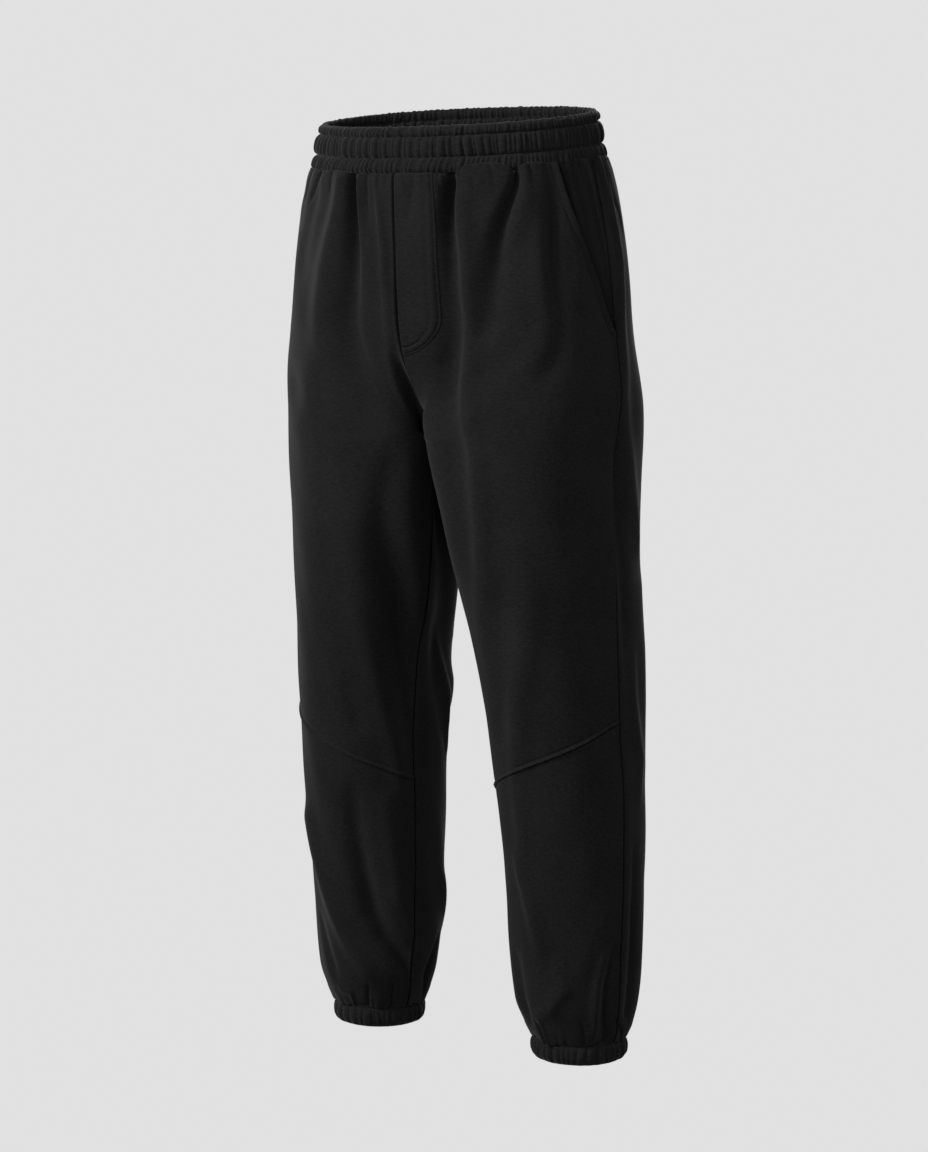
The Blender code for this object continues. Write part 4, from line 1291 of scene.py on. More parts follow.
@dataclass
class Front(Panel):
    """Upper front panel, cut away along the pocket mouth and sewn down over the knee panel.

    Attributes:
        mouth_row: distance of the stitches from the pocket mouth, in mm.
        knee_row: distance of the stitches from the knee seam, in mm.
        mouth_rise: how far the layers under the mouth's fold raise it, in mm.
        knee_rise: the same at the knee seam.
    """

    rows: int = 206
    bottom_rows: tuple[float, ...] = HEMMED
    right_columns: tuple[float, ...] = MOUTH_COLUMNS
    columns: int = 140
    label: str = "front_cloth"
    mouth_row: float = 7.3
    knee_row: float = 4.8
    mouth_rise: float = 2.6
    knee_rise: float = 2.2

    def right(self, drop: Array) -> Array:
        """The pocket mouth and, below it, the outseam."""
        return before(np.where(drop < POCKET_END, mouth(drop), outseam(drop)), drop)

    def bottom(self, share: Array) -> Array:
        """The seam across the knee."""
        return knee(share) - HALF_GAP

    def relief(self, turn: Array, drop: Array) -> Array:
        """Pressed seams, the mouth's folded edge and the hem over the knee panel.

        Args:
            turn: turns of the places.
            drop: their drops.

        Returns:
            Heights in metres.
        """
        from_left, from_right = self.edge_distances(turn, drop)
        at_mouth = 1 - smooth_step((drop - POCKET_END + 4 * MM) / (8 * MM))
        folded = topstitched(from_right, self.mouth_row, self.mouth_rise)
        above = (self.bottom(self.share(turn, drop)) - drop) * KNEE_SLANT
        over_knee = topstitched(above, self.knee_row, self.knee_rise)
        side_edge = at_mouth * folded + (1 - at_mouth) * pressed_seam(from_right)
        return pressed_seam(from_left) + side_edge + over_knee


@dataclass
class KneePanel(Panel):
    """Lower front panel, from the knee seam to the cuff."""

    rows: int = 90
    columns: int = 96
    top_rows: tuple[float, ...] = SEAM_COLUMNS
    label: str = "knee_cloth"

    def top(self, share: Array) -> Array:
        """The seam across the knee."""
        return knee(share) + HALF_GAP

    def relief(self, turn: Array, drop: Array) -> Array:
        """Pressed seams at the sides, and a step down of two bells under the panel above.

        Args:
            turn: turns of the places.
            drop: their drops.

        Returns:
            Heights in metres.
        """
        under = (drop - self.top(self.share(turn, drop))) / MM
        step = (-1.4 * bump(under, 0, 0.8) - 0.25 * bump(under, 0, 4.0)) * MM
        return super().relief(turn, drop) + step


@dataclass
class Back(Panel):
    """Back panel, in one piece from the waistband to the cuff."""

    rows: int = 208
    columns: int = 104
    label: str = "back_cloth"
    over: bool = False

    def left(self, drop: Array) -> Array:
        """The outseam."""
        return after(outseam(drop), drop)

    def right(self, drop: Array) -> Array:
        """The centre back and, below the crotch, the inseam."""
        return before(2 + inseam(drop), drop)


@dataclass
class Facing(Panel):
    """Hip facing behind the pocket mouth, from under its folded edge to the outseam.

    Attributes:
        tucked: how far it reaches in under the folded edge, in metres.
        sunk: how far it lies below the base surface at that edge, in mm.
        later: how far it lies below it 15 mm further on, in mm.
        gape: how much lower it is where the mouth gapes most, in mm.
    """

    rows: int = 56
    columns: int = 32
    top_rows: tuple[float, ...] = (0, 1.2, 2.2, 2.5, 3.1, 3.9, 5.1, 6.8, 9, 12.2, 16.3)
    bottom_rows: tuple[float, ...] = (0, 1.0, 2.5)
    left_columns: tuple[float, ...] = (0, 0.4, 0.8)
    right_columns: tuple[float, ...] = (0, 0.4, 0.8)
    label: str = "facing_cloth"
    tucked: float = 2.0 * MM
    sunk: float = 3.2
    later: float = 0.9
    gape: float = 6.0

    def bottom(self, share: Array) -> Array:
        """The lower end of the pocket mouth."""
        return np.full(np.shape(share), POCKET_END - 0.5 * MM)

    def left(self, drop: Array) -> Array:
        """A little way in under the mouth's folded edge."""
        edge = mouth(drop)
        return edge - self.tucked * FORM.turns_per_metre(edge, drop)

    def relief(self, turn: Array, drop: Array) -> Array:
        """Lower than the mouth's edge by more than a wall, and most where the mouth gapes.

        It eases from sunk to later over 15 mm. Round 66 mm below the rim, and a third as much
        round 92 mm, it is lower by another gape exp(-(mm / 2.6)^2).

        Args:
            turn: turns of the places.
            drop: their drops.

        Returns:
            Heights in metres.
        """
        from_left, from_right = self.edge_distances(turn, drop)
        past = (from_left - self.tucked) / MM
        gape = bump(drop / MM, 66, 11) + 0.35 * bump(drop / MM, 92, 16)
        sink = self.sunk - (self.sunk - self.later) * smooth_step(past / 15)
        sink = sink + self.gape * gape * bump(np.maximum(past, 0), 0, 2.6)
        narrow = smooth_step((from_left + from_right - self.tucked) / (10 * MM))
        return pressed_seam(from_right) * narrow - (sink + (1 - narrow) * 0.6) * MM


@dataclass
class Fly:
    """Mock fly: a placket on the left front, sewn down along a double row that ends in a curve.

    Attributes:
        front: the panel that it lies on.
        fold: distance of its folded edge from the centre front, in mm.
        edge: turn of its outer edge at the rim.
        taper: how fast that edge runs in, in turns for each metre down.
        straight: drop at which its edge begins to curve in.
        end: drop of its lower end at the centre front.
        rise: how far it stands above the front panel.
        roll: how much more it stands up along its folded edge.
        rows_at: distances of the two rows of stitches from its edge, in mm.
        curve: mean radius of the curve at its lower end, in mm.
    """

    front: Front
    fold: float = 1.3
    edge: float = 0.1875
    taper: float = 0.090
    straight: float = 0.205
    end: float = 0.2375
    rise: float = 1.6 * MM
    roll: float = 1.2 * MM
    rows_at: tuple[float, float] = (2.0, 7.8)
    curve: float = 36.0

    def reach(self, drop: Array) -> Array:
        """Turn of its outer edge above the curve, running in by taper for each metre down."""
        return self.edge - self.taper * np.minimum(drop, self.straight)

    def inset(self, turn: Array, drop: Array) -> Array:
        """Distance in mm from its curved edge, (1 - radius) times the curve's mean radius below."""
        round_end = np.clip((drop - self.straight) / (self.end - self.straight), 0, None)
        return (1 - np.hypot(turn / self.reach(drop), round_end)) * self.curve

    def skin(self, turn: Array, drop: Array) -> tuple[Array, Array]:
        """Outer points at any place on it, and the directions straight out.

        Above the front panel it rises as 1 - exp(-mm / 0.7) from its sewn edge and as
        1 - exp(-(mm / 1.5)^2) from its folded edge, which rolls up by exp(-(mm / 6)^2). A groove
        1.5 exp(-(mm / 0.8)^2) deep lies along each row of stitches.

        Args:
            turn: turns of the places.
            drop: drops of the places.

        Returns:
            Points and unit directions.
        """
        point, out = self.front.skin(turn, drop)
        inset = self.inset(turn, drop)
        centre = turn / FORM.turns_per_metre(0.05, drop) / MM
        past = np.maximum(centre - self.fold, 0)
        height = self.rise + self.roll * bump(past, 0, 6.0)
        height = height * (1 - np.exp(-np.maximum(inset, 0) / 0.7))
        height = height * (1 - np.exp(-((past / 1.5) ** 2))) - pressed_seam(centre * MM)
        for row in self.rows_at:
            height = height - 1.5 * MM * bump(inset, row, 0.8)
        return point + out * np.maximum(height, 0.12 * MM)[..., None], out

    def build(self) -> bpy.types.Object:
        """A closed shell, whose back lies on the front panel: columns across, rows to the curve.

        Returns:
            The placket.
        """
        sewn = (0, 0.4, 0.8, 1.2, 1.6, 2.0, 2.4, 2.9, 3.8, 5.2, 6.4, 7.0, 7.4, 7.8, 8.2, 8.7, 9.6)
        fold = tuple(self.fold + step for step in (0, 0.4, 0.8, 1.2, 1.7, 2.4, 3.4, 5.0))
        first, second, share = stations(fold, sewn, 14)
        width = self.edge / FORM.turns_per_metre(0.09, 0.12)
        across = (first * (1 - share) + (width - second) * share) / width
        depth = self.straight + (self.end - self.straight) * np.sqrt(np.clip(1 - across**2, 0, 1))
        above, under, down = stations(WAIST_ROWS, sewn, 84)
        top = WAISTBAND + HALF_GAP
        drop = (top + above[:, None]) * (1 - down[:, None]) + (depth - under[:, None]) * down[:, None]
        turn = across * self.reach(drop)
        outer, out = self.skin(turn, drop)
        inner = self.front.skin(turn, drop)[0] + out * 0.03 * MM
        uv = np.stack([turn * MAP_TURN, -drop], axis=-1)
        return shell("fly_cloth", outer, inner, uv, False, self.front.finish)


# ----------------------------------------------------------------------------------------- bands


class Channel(NamedTuple):
    """A channel of a gathered band, between two rows of stitches or edges.

    top and bottom are drops in mm, puff is how far it swells and ribs how high its ribs are, in
    mm, spacing is the mean width of its ribs and slant how far they lean across it, in mm.
    """

    top: float
    bottom: float
    puff: float
    ribs: float
    spacing: float
    slant: float


class DeepPleat(NamedTuple):
    """A pleat of a band that is deeper than its neighbours: its turns round, depth and width in mm."""

    place: float
    depth: float
    width: float


@dataclass
class Band:
    """A casing gathered over elastic: uneven ribs in each channel, with grooves at the stitches.

    Attributes:
        name: the piece's name.
        finish: its material.
        channels: its channels, from the top down.
        pleats: deeper pleats.
        wall: its thickness with the elastic.
        columns: points round it.
        length: how far it is round, in metres.
        lap: turns once round it.
        seed: what its ribs are drawn from.
        side: the side of a cuff.
        step: how far its rows lie apart, in mm.
        rim: how far its upper edge is rounded up, in mm.
        tuck: how far the edge that is sewn to the panels is drawn in, in mm.
    """

    name: str
    finish: bpy.types.Material
    channels: tuple[Channel, ...]
    pleats: tuple[DeepPleat, ...]
    wall: float
    columns: int
    length: float
    lap: float
    seed: int
    side: Side = Side.LEFT
    step: float = 1.1
    rim: float = 1.0
    tuck: float = 1.5

    def turns(self, place: Array) -> tuple[Array, Array]:
        """Where places round the band lie; a waistband goes round the left half and back on the right.

        Args:
            place: places round the band, from the centre front or the inside of the leg.

        Returns:
            Their turns, and what X is multiplied by there.
        """
        if self.lap == 2:
            return place % 2, np.full(np.shape(place), self.side.value)
        place = place % 4
        return np.where(place <= 2, place, 4 - place), np.where(place <= 2, 1.0, -1.0)

    def ribs(self, channel: Channel, seed: int, place: Array, across: Array) -> Array:
        """Ribs of a channel, in mm: rounded pillows between uneven grooves.

        A pillow is (1 - |2x - 1|^2.2)^0.7 of the share x of the way across it, and as high as its
        width allows. The grooves lean by the channel's slant between its two edges, and wander
        sideways by up to 1.6 mm more.

        Args:
            channel: the channel.
            seed: what the widths are drawn from.
            place: places round the band.
            across: share of the way down the channel.

        Returns:
            Heights in mm, 0 in the grooves.
        """
        pick = np.random.default_rng(seed)
        count = int(self.length / MM / channel.spacing)
        widths = pick.uniform(0.45, 1.6, count) ** 1.2
        edges = np.concatenate([[0], np.cumsum(widths)]) * self.lap / widths.sum()
        size = np.diff(edges) * self.length / self.lap / MM
        tall = np.clip(size / channel.spacing, 0.5, 1.3) * pick.uniform(0.6, 1.2, count)
        lean = np.sin(place * 7.3 * 4 / self.lap + seed)
        lean = lean + 0.6 * np.sin(place * 19.1 * 4 / self.lap + 2 * seed)
        lean = (channel.slant + 1.6 * lean) * MM * self.lap / self.length
        moved = (place + lean * (across - 0.5)) % self.lap
        at = np.clip(np.searchsorted(edges, moved, side="right") - 1, 0, count - 1)
        x = (moved - edges[at]) / (edges[at + 1] - edges[at])
        pillow = np.clip(1 - np.abs(2 * x - 1) ** 2.2, 0, 1) ** 0.7
        return channel.ribs * tall[at] * pillow

    def swell(self, place: Array, mm: Array, inside: bool = False) -> Array:
        """How far the band's surface stands out of its base, in metres.

        Each channel swells as 1 - |2x - 1|^2.6 of the share x of the way down it, and its ribs
        flatten to a third at its edges. A row of stitches holds the cloth down by exp(-(mm / 1.3)^2),
        and the edge sewn to the panels is drawn in by tuck exp(-(mm / 2.6)^2). The inner side
        swells half as much, with ribs a third higher.

        Args:
            place: places round the band.
            mm: drops in mm.
            inside: True for the side towards the wearer.

        Returns:
            Heights in metres.
        """
        total = np.zeros(np.broadcast(place, mm).shape)
        for number, channel in enumerate(self.channels):
            x = np.clip((mm - channel.top) / (channel.bottom - channel.top), 0, 1)
            inner = (mm >= channel.top) & ((mm < channel.bottom) | (number == len(self.channels) - 1))
            body = 1 - np.abs(2 * x - 1) ** 2.6
            ribs = self.ribs(channel, self.seed + 10 * number + (5 if inside else 0), place, x)
            puff, tall = (0.5, 1.3) if inside else (1.0, 1.0)
            shape = channel.puff * body * puff + ribs * tall * (0.34 + 0.66 * body**0.6)
            for pleat in () if inside else self.pleats:
                away = (place - pleat.place + self.lap / 2) % self.lap - self.lap / 2
                away = away * self.length / self.lap / MM
                shape = shape - pleat.depth * body**0.5 * np.exp(-np.abs(away) / pleat.width)
            total = np.where(inner, shape, total)
            if number:
                total = total - 1.0 * bump(mm, channel.top, 1.3)
        sewn = self.channels[0].top if self.lap == 2 else self.channels[-1].bottom
        return (total - (0 if inside else self.tuck) * bump(mm, sewn, 2.6)) * MM

    def rows(self) -> Array:
        """The outer rows, closer together beside the stitches.

        Returns:
            Their drops in mm.
        """
        parts = []
        for channel in self.channels:
            count = max(6, round((channel.bottom - channel.top) / self.step))
            share = np.linspace(0, 1, count, endpoint=False)
            share = share - 0.10 * np.sin(2 * math.pi * share)
            parts.append(channel.top + (channel.bottom - channel.top) * share)
        return np.append(np.concatenate(parts), self.channels[-1].bottom)

    def skin(self, place: Array, drop: Array, inside: bool = False) -> tuple[Array, Array]:
        """Points of the band's outer or inner side at any place, and the directions out of it.

        Args:
            place: places round the band.
            drop: drops in metres.
            inside: True for the side towards the wearer.

        Returns:
            Points and unit directions.
        """
        place, drop = np.broadcast_arrays(place, drop)
        turn, mirror = self.turns(place)
        out = FORM.normal(turn, drop, level=True)
        height = self.swell(place, drop / MM, inside)
        height = -self.wall - height if inside else height
        point = FORM.point(turn, drop) + out * height[..., None]
        scale = np.stack([mirror, np.ones_like(mirror), np.ones_like(mirror)], axis=-1)
        return point * scale, out * scale * (-1 if inside else 1)

    def build(self) -> bpy.types.Object:
        """A section goes down the outside, round the lower edge, up the inside and round the rim.

        Returns:
            The ring.
        """
        place = np.arange(self.columns) * self.lap / self.columns
        rows = self.rows()
        outer, _ = self.skin(place[None, :], rows[:, None] * MM)
        inner, _ = self.skin(place[None, :], rows[::-2, None] * MM, inside=True)
        up = np.array([0.0, 0.0, 1.0])
        top_mid = 0.5 * (outer[0] + inner[-1])
        low_mid = 0.5 * (outer[-1] + inner[0])
        ridge = self.ribs(self.channels[0], self.seed, place, np.zeros(self.columns))
        ridge = ridge[:, None] * MM * 0.45
        rim_up = up * (self.rim * MM + ridge)
        rim = [
            0.5 * (inner[-1] + top_mid) + 0.7 * rim_up,
            top_mid + rim_up,
            0.5 * (outer[0] + top_mid) + 0.75 * rim_up,
        ]
        low = [0.5 * (outer[-1] + low_mid), low_mid, 0.5 * (inner[0] + low_mid)]
        low = [part - up * 0.25 * MM for part in low]
        points = np.concatenate([outer, np.array(low), inner, np.array(rim)])
        end = rows[-1]
        spans = [rows, end + np.arange(1, 4), end + 4 + (end - rows[::-2]), -np.arange(3, 0, -1)]
        spans = np.concatenate(spans)
        across = np.broadcast_to(place * self.length / self.lap, points.shape[:2])
        uv = np.stack([across, np.broadcast_to(-spans[:, None] * MM, points.shape[:2])], axis=-1)
        return tube(self.name, points, uv, self.side is Side.RIGHT, self.finish)


# -------------------------------------------------------------------------------------- stitches

Skin = Callable[[Array, Array], tuple[Array, Array]]
# A bartack's rows lie this far apart, and its stitches follow each other at this pitch, in metres.
BARTACK_ROW = 0.0017
BARTACK_PITCH = 2.2 * MM


@dataclass
class Stitches:
    """Lockstitch along seams: short raised dashes of thread, a little apart.

    Attributes:
        name: the piece's name.
        finish: the thread's material.
        pitch: distance from one stitch to the next, in metres.
        length: length of a stitch.
        thick: thickness of the thread.
        sides: points round a stitch, an even number.
    """

    name: str
    finish: bpy.types.Material
    pitch: float = 3.0 * MM
    length: float = 2.3 * MM
    thick: float = 0.55 * MM
    sides: int = 6

    def __post_init__(self) -> None:
        """Start with no stitches."""
        self.parts: list[tuple[Array, Array, Array]] = []

    def run(self, skin: Skin, path: Sequence[Sequence[float]], pitch: float | None = None) -> None:
        """Sew along a path on a piece, at even steps of its real length.

        Args:
            skin: the piece's surface.
            path: turns and drops of the path's points.
            pitch: distance between stitches in metres, where it isn't the usual one.
        """
        rows = np.array(path, dtype=float)
        t = np.linspace(0, 1, 60 * len(rows))
        knots = np.linspace(0, 1, len(rows))
        fine = read_rows(np.column_stack([knots, rows]), t)
        line, _ = skin(fine[0], fine[1])
        along = np.concatenate([[0], np.cumsum(np.linalg.norm(np.diff(line, axis=0), axis=1))])
        count = max(1, int(along[-1] / (pitch or self.pitch)))
        middle = (np.arange(count) + 0.5) * along[-1] / count
        half = 0.5 * self.length
        ends = []
        for reach in (-half, 0.0, half):
            at = np.interp(middle + reach, along, t)
            where = read_rows(np.column_stack([knots, rows]), at)
            ends.append(skin(where[0], where[1]))
        run = ends[2][0] - ends[0][0]
        run = run / np.linalg.norm(run, axis=-1, keepdims=True)
        self.parts.append((ends[1][0], run, ends[1][1]))

    def build(self) -> bpy.types.Object:
        """All the stitches in one mesh.

        Each is a capsule: rings of radius sqrt(1 - x^4) along the stitch, closed by a point at
        each end, sunk into the cloth by a quarter of its thickness, with its ends lower.

        Returns:
            The stitches.
        """
        middle, run, out = (np.concatenate([part[i] for part in self.parts]) for i in range(3))
        side = np.cross(run, out)
        side = side / np.linalg.norm(side, axis=-1, keepdims=True)
        up = np.cross(side, run)
        place = np.array([-0.9, -0.45, 0.45, 0.9])
        ring = np.sqrt(1 - place**4)
        angle = np.arange(self.sides) * 2 * math.pi / self.sides
        half, radius = 0.5 * self.length, 0.5 * self.thick
        along = np.concatenate([[-1.0], np.repeat(place, self.sides), [1.0]]) * half
        wide = np.concatenate([[0.0], np.outer(ring, np.cos(angle)).ravel(), [0.0]]) * radius
        high = np.concatenate([[0.0], np.outer(ring, np.sin(angle)).ravel(), [0.0]]) * radius * 0.8
        high = high + 0.25 * radius - 0.7 * radius * (along / half) ** 2
        points = middle[:, None] + along[:, None] * run[:, None]
        points = points + wide[:, None] * side[:, None] + high[:, None] * up[:, None]
        number = 1 + np.arange(4 * self.sides).reshape(4, self.sides)
        number = np.concatenate([number, number[:, :1]], axis=1)
        pair = np.arange(0, self.sides, 2)
        tip, tail = np.zeros_like(pair), np.full_like(pair, 4 * self.sides + 1)
        near, far = number[0], number[3]
        start = np.stack([tip, near[pair], near[pair + 1], near[pair + 2]], axis=-1)
        end = np.stack([tail, far[pair + 2], far[pair + 1], far[pair]], axis=-1)
        quads = np.concatenate([grid_quads(number)[:, ::-1], start, end])
        per = points.shape[1]
        every = quads[None] + (np.arange(len(points)) * per)[:, None, None]
        points = points.reshape(-1, 3)
        return make_piece(self.name, points, every.reshape(-1, 4), points[:, [0, 2]], self.finish)


# ------------------------------------------------------------------------------- the whole garment


@dataclass
class Waist:
    """The waistband with its two rows of stitches, and their two materials."""

    cloth: bpy.types.Material
    thread: bpy.types.Material

    def build(self) -> list[bpy.types.Object]:
        """The gathered ring and its stitches.

        Returns:
            Both pieces.
        """
        band = Band(
            name="waistband_cloth", finish=self.cloth,
            channels=(Channel(0.0, 9.5, 1.3, 2.0, 4.0, 0.4), Channel(9.5, 32.0, 2.3, 2.8, 5.3, 0.8),
                      Channel(32.0, 48.3, 1.7, 2.2, 3.9, 4.0)),
            pleats=tuple(DeepPleat(*row) for row in (
                (0.268, 3.0, 1.8), (0.325, 2.0, 1.1), (0.040, 3.0, 1.8), (0.470, 1.1, 1.0),
                (0.535, 1.5, 1.1), (0.640, 1.0, 0.9), (0.760, 1.3, 1.0), (1.180, 1.2, 1.0),
                (1.560, 1.4, 1.1), (1.930, 1.1, 1.0), (2.330, 1.3, 1.1), (2.760, 1.1, 1.0),
                (3.180, 0.9, 1.0), (3.560, 1.0, 0.9), (3.790, 0.8, 0.9),
            )),
            wall=3.0 * MM, columns=1260, length=0.871, lap=4, seed=11)
        rows = Stitches("waistband_stitches", self.thread, pitch=3.4 * MM, length=2.4 * MM, thick=0.5 * MM)
        for drop in (9.5, 32.0):
            rows.run(band.skin, [(4 * i / 24, drop * MM) for i in range(25)])
        piece, sewn = band.build(), rows.build()
        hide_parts("waistband")
        return [piece, sewn]


@dataclass
class Cuff:
    """One gathered cuff with the row of stitches near its upper edge, and their two materials."""

    side: Side
    cloth: bpy.types.Material
    thread: bpy.types.Material

    def build(self) -> list[bpy.types.Object]:
        """The gathered ring and its stitches.

        Returns:
            Both pieces.
        """
        seed = 31 if self.side is Side.LEFT else 57
        top, row, end = CUFF_TOP / MM + 0.2, CUFF_TOP / MM + 4.6, CUFF_END / MM - 0.2
        band = Band(
            name=f"cuff_cloth_{self.side.label}", finish=self.cloth,
            channels=(Channel(top, row, 0.5, 1.2, 6.4, 0.0), Channel(row, end, 1.5, 2.2, 6.8, 0.8)),
            pleats=tuple(DeepPleat(p, 1.4, 1.1) for p in (0.21, 0.52, 0.83, 1.27, 1.66)),
            wall=2.5 * MM, columns=380, length=0.306, lap=2, seed=seed, side=self.side, rim=0.4)
        rows = Stitches(f"cuff_stitches_{self.side.label}", self.thread, pitch=3.2 * MM, thick=0.5 * MM)
        rows.run(band.skin, [(2 * i / 16, row * MM) for i in range(17)])
        piece, sewn = band.build(), rows.build()
        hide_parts(f"cuff_{self.side.label}")
        return [piece, sewn]


@dataclass
class Half:
    """One side of the garment: front with its pocket, knee panel and back, and their stitches.

    Attributes:
        side: the wearer's side.
        cloth: material of the panels.
        facing: material of the pocket facing, a darker copy of the panels' fleece that paints shade on it.
        thread: material of the stitches.
        bartacks: on the fly, each one's first drop, number of rows, and first and last turn.
        sheets: flat width, length and area of what shows of each panel, in metres.
    """

    side: Side
    cloth: bpy.types.Material
    facing: bpy.types.Material
    thread: bpy.types.Material

    bartacks = ((0.0590, 5, 0.146, 0.176), (0.1215, 5, 0.009, 0.033), (0.1970, 4, 0.008, 0.022))
    sheets = {
        "front": (0.30, 0.67, 0.168),
        "knee_panel": (0.25, 0.35, 0.062),
        "back": (0.36, 0.95, 0.290),
        "pocket_facing": (0.065, 0.18, 0.0070),
    }

    def build(self) -> list[bpy.types.Object]:
        """The four panels, the topstitching of mouth and knee, and on the left the fly.

        Returns:
            All the pieces.
        """
        front = Front(self.side, self.cloth)
        panels = {
            "front": front,
            "knee_panel": KneePanel(self.side, self.cloth),
            "back": Back(self.side, self.cloth),
            "pocket_facing": Facing(self.side, self.facing),
        }
        made = {name: panel.build() for name, panel in panels.items()}
        sewn = self.sew(front)
        extra = [sewn]
        if self.side is Side.LEFT:
            extra += self.add_fly(front)
        for name, piece in made.items():
            width, length, area = self.sheets[name]
            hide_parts(f"{name}_{self.side.label}")
        return [*made.values(), *extra]

    def sew(self, front: Front) -> bpy.types.Object:
        """Topstitching inside the pocket mouth and above the knee seam, and the mouth's bartack.

        Args:
            front: the panel that it is sewn on.

        Returns:
            The stitches.
        """
        rows = Stitches(f"front_stitches_{self.side.label}", self.thread)
        drops = np.linspace(WAISTBAND + 3 * MM, POCKET_END - 2 * MM, 12)
        edge = front.right(drops)
        turns = edge - front.mouth_row * MM * FORM.turns_per_metre(edge, drops)
        # Below the mouth its row runs on, and in to the outseam.
        tail = (0.972, POCKET_END + 9 * MM), (0.993, POCKET_END + 13 * MM)
        rows.run(front.skin, [*zip(turns, drops), *tail])
        share = np.linspace(0.01, 0.99, 12)
        drops = knee(share) - front.knee_row * MM / KNEE_SLANT
        turns = inseam(drops) + (outseam(drops) - inseam(drops)) * share
        rows.run(front.skin, [*zip(turns, drops)])
        # The bartack at the top of the mouth is seven short rows across its folded edge.
        at = float(front.right(np.array(WAISTBAND + 9 * MM)))
        scale = float(FORM.turns_per_metre(at, WAISTBAND)) * MM
        for row in range(7):
            drop = WAISTBAND + (7 + 0.75 * row) * MM
            path = [(at - 7.0 * scale, drop), (at - 0.8 * scale, drop)]
            rows.run(front.skin, path, pitch=BARTACK_PITCH)
        return rows.build()

    def add_fly(self, front: Front) -> list[bpy.types.Object]:
        """The placket, its double row of stitches and its bartacks.

        Args:
            front: the panel that it lies on.

        Returns:
            The placket and its stitches.
        """
        fly = Fly(front)
        rows = Stitches("fly_stitches", self.thread)
        for inset in fly.rows_at:
            inner = 1 - inset / fly.curve
            straight = [(fly.reach(d) * inner, d) for d in np.linspace(WAISTBAND + 2 * MM, fly.straight, 7)]
            angle = np.linspace(0, math.pi / 2 * 0.95, 9)[1:]
            low = fly.reach(fly.straight)
            deep = (fly.end - fly.straight) * inner
            curve = [(low * inner * math.cos(a), fly.straight + deep * math.sin(a)) for a in angle]
            rows.run(fly.skin, straight + curve)
        for top, count, start, end in self.bartacks:
            for drop in top + BARTACK_ROW * np.arange(count):
                rows.run(fly.skin, [(start, drop), (end, drop)], pitch=BARTACK_PITCH)
        piece, sewn = fly.build(), rows.build()
        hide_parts("fly_placket")
        return [piece, sewn]


# ------------------------------------------------------------------------------- floor and light


class Lamp(NamedTuple):
    """A square soft light that faces the garment's middle.

    azimuth is in degrees round from straight in front, towards the wearer's left, elevation in
    degrees above the garment's middle, size the length of its side in metres and power in watts.
    """

    name: str
    azimuth: float
    elevation: float
    size: float
    power: float


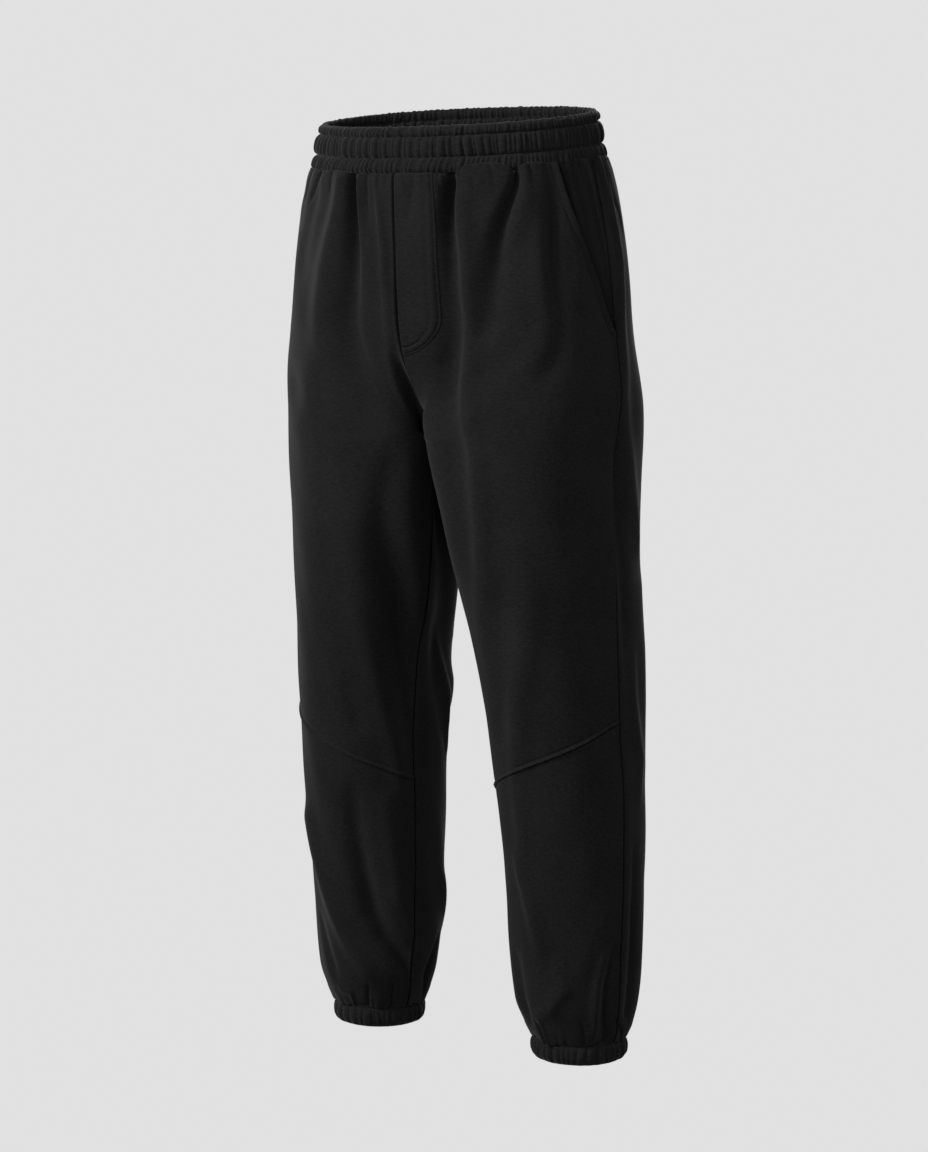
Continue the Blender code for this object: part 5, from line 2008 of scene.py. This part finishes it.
@dataclass(frozen=True)
class Studio:
    """A pale studio: floor, an even pale surround, soft lights and the camera.

    Attributes:
        surround: brightness of the backdrop and the floor, linear.
        ambient: brightness of the even light that falls on the garment from all round, linear.
        floor_drop: how far the floor lies below the waist.
        aim: the point that the camera looks at.
        stand: where the camera stands.
        lens: its focal length in mm.
        lamps: the lights.
        lamp_distance: how far they stand from the garment's middle.
    """

    surround: float = 0.753
    ambient: float = 0.12
    floor_drop: float = 1.62
    aim: tuple[float, float, float] = (0.0042, 0.0033, -0.4915)
    stand: tuple[float, float, float] = (2.2164, -2.8368, -0.09)
    lens: float = 104.6
    lamps: tuple[Lamp, ...] = (
        Lamp("key", -30, 33, 1.2, 78),
        Lamp("fill", 12, 13, 1.4, 31),
        Lamp("side", 82, 38, 1.4, 13),
        Lamp("rim_right", -100, 14, 1.2, 32),
        Lamp("rim_left", 138, 14, 1.2, 12),
        Lamp("behind", 204, 32, 1.8, 100),
    )
    lamp_distance: float = 3.5

    def build(self) -> None:
        """Make all of it."""
        scene = bpy.context.scene
        scene.view_settings.view_transform = "Standard"
        scene.view_settings.look = "None"
        self.add_ambient(scene)
        board = self.pale_board()
        self.add_floor(board)
        self.add_backdrop(board)
        for lamp in self.lamps:
            self.add_light(lamp)
        self.add_camera(scene)

    def add_ambient(self, scene: bpy.types.Scene) -> None:
        """A weak even light from all round.

        Args:
            scene: the scene that it lights.
        """
        world = bpy.data.worlds.new("ambient")
        tree = empty_tree(world)
        level = (self.ambient,) * 3 + (1.0,)
        glow = add_node(tree, "ShaderNodeBackground", {"Color": level, "Strength": 1.0})
        add_node(tree, "ShaderNodeOutputWorld", {}, {"Surface": glow.outputs[0]})
        scene.world = world

    def pale_board(self) -> bpy.types.Material:
        """Pale matt board, evenly bright, so that the floor runs into the backdrop.

        Returns:
            The material.
        """
        material = bpy.data.materials.new("pale_board")
        tree = empty_tree(material)
        level = (self.surround,) * 3 + (1.0,)
        glow = add_node(tree, "ShaderNodeEmission", {"Color": level, "Strength": 1.0})
        add_node(tree, "ShaderNodeOutputMaterial", {}, {"Surface": glow.outputs[0]})
        return material

    def add_stage(self, name: str, mesh: bpy.types.Mesh, board: bpy.types.Material) -> None:
        """Put a part of the set in place, seen but casting no light or shade on the garment.

        Args:
            name: its name.
            mesh: its mesh.
            board: its material.
        """
        mesh.materials.append(board)
        part = bpy.data.objects.new(name, mesh)
        part.visible_diffuse = part.visible_glossy = part.visible_transmission = part.visible_shadow = False
        bpy.context.scene.collection.objects.link(part)

    def add_floor(self, board: bpy.types.Material) -> None:
        """A wide level disc.

        Args:
            board: its material.
        """
        radius, count = 9.0, 96
        angle = np.arange(count) * 2 * math.pi / count
        level = np.full(count, -self.floor_drop)
        ring = np.stack([radius * np.cos(angle), radius * np.sin(angle), level], axis=-1)
        mesh = bpy.data.meshes.new("floor")
        mesh.from_pydata(ring.tolist(), [], [list(range(count))])
        self.add_stage("floor", mesh, board)

    def add_backdrop(self, board: bpy.types.Material) -> None:
        """A globe round the set: rings of radius cos(latitude) at heights of its sine.

        Args:
            board: its material.
        """
        radius, rows, columns = 12.0, 24, 48
        angle = (np.arange(columns) * 2 * math.pi / columns)[None, :]
        latitude = np.linspace(-0.499 * math.pi, 0.499 * math.pi, rows)[:, None]
        wide, height = np.cos(latitude), np.sin(latitude) + 0 * angle
        ring = [wide * np.cos(angle), wide * np.sin(angle), height]
        points = radius * np.stack(ring, axis=-1).reshape(-1, 3)
        number = np.arange(rows * columns).reshape(rows, columns)
        number = np.concatenate([number, number[:, :1]], axis=1)
        mesh = bpy.data.meshes.new("backdrop")
        mesh.from_pydata(points.tolist(), [], grid_quads(number).tolist())
        self.add_stage("backdrop", mesh, board)

    def add_light(self, lamp: Lamp) -> None:
        """Put a light in place, where the camera doesn't see it.

        Args:
            lamp: its place, size and power.
        """
        light = bpy.data.lights.new(lamp.name, "AREA")
        light.shape, light.size, light.energy = "SQUARE", lamp.size, lamp.power
        holder = bpy.data.objects.new(lamp.name, light)
        holder.visible_camera = False
        a, e = math.radians(lamp.azimuth), math.radians(lamp.elevation)
        away = np.array([math.sin(a) * math.cos(e), -math.cos(a) * math.cos(e), math.sin(e)])
        holder.location = np.array(self.aim) + away * self.lamp_distance
        holder.rotation_euler = self.facing(-away)
        bpy.context.scene.collection.objects.link(holder)

    def facing(self, way: Array) -> tuple[float, float, float]:
        """Turns about X, Y and Z that point an object's -Z along a direction, with its Y upright."""
        way = way / np.linalg.norm(way)
        return math.acos(-way[2]), 0.0, math.atan2(-way[0], way[1])

    def add_camera(self, scene: bpy.types.Scene) -> None:
        """The camera, a little above the garment's middle and to its left front.

        Args:
            scene: the scene that it looks at.
        """
        data = bpy.data.cameras.new("camera")
        data.lens, data.sensor_width, data.sensor_fit = self.lens, 36.0, "AUTO"
        data.clip_start, data.clip_end = 0.1, 60.0
        camera = bpy.data.objects.new("camera", data)
        camera.location = self.stand
        camera.rotation_euler = self.facing(np.array(self.aim) - np.array(self.stand))
        scene.collection.objects.link(camera)
        scene.camera = camera


def main() -> None:
    """Build the garment and the studio, and report each piece."""
    logging.basicConfig(level=logging.INFO, format="%(name)s: %(message)s")
    Studio().build()
    fleece = Fleece("brushed_fleece").make()
    # The bands' fleece is a lighter copy of the panels' fleece: painted light on the gathers, with a finer
    # nap and a little more sheen.
    gathered = Fleece("gathered_fleece", deep="#151515", lit="#262626", bloom=0.18, nap=0.4).make()
    # The facing's fleece is a darker copy of the panels' fleece with less sheen: painted shade under the
    # pocket mouth.
    inner = Fleece("facing_fleece", deep="#121212", lit="#1F1F1F", bloom=0.12).make()
    thread = Thread("polyester_thread").make()
    pieces = Waist(gathered, thread).build()
    for side in Side:
        pieces += Half(side, fleece, inner, thread).build()
        pieces += Cuff(side, gathered, thread).build()
    total = 0
    for piece in pieces:
        count = 2 * len(piece.data.polygons)
        total += count
        LOG.info("%s: %d triangles", piece.name, count)
    LOG.info("%d pieces, %d triangles in all", len(pieces), total)


if __name__ == "__main__":
    main()
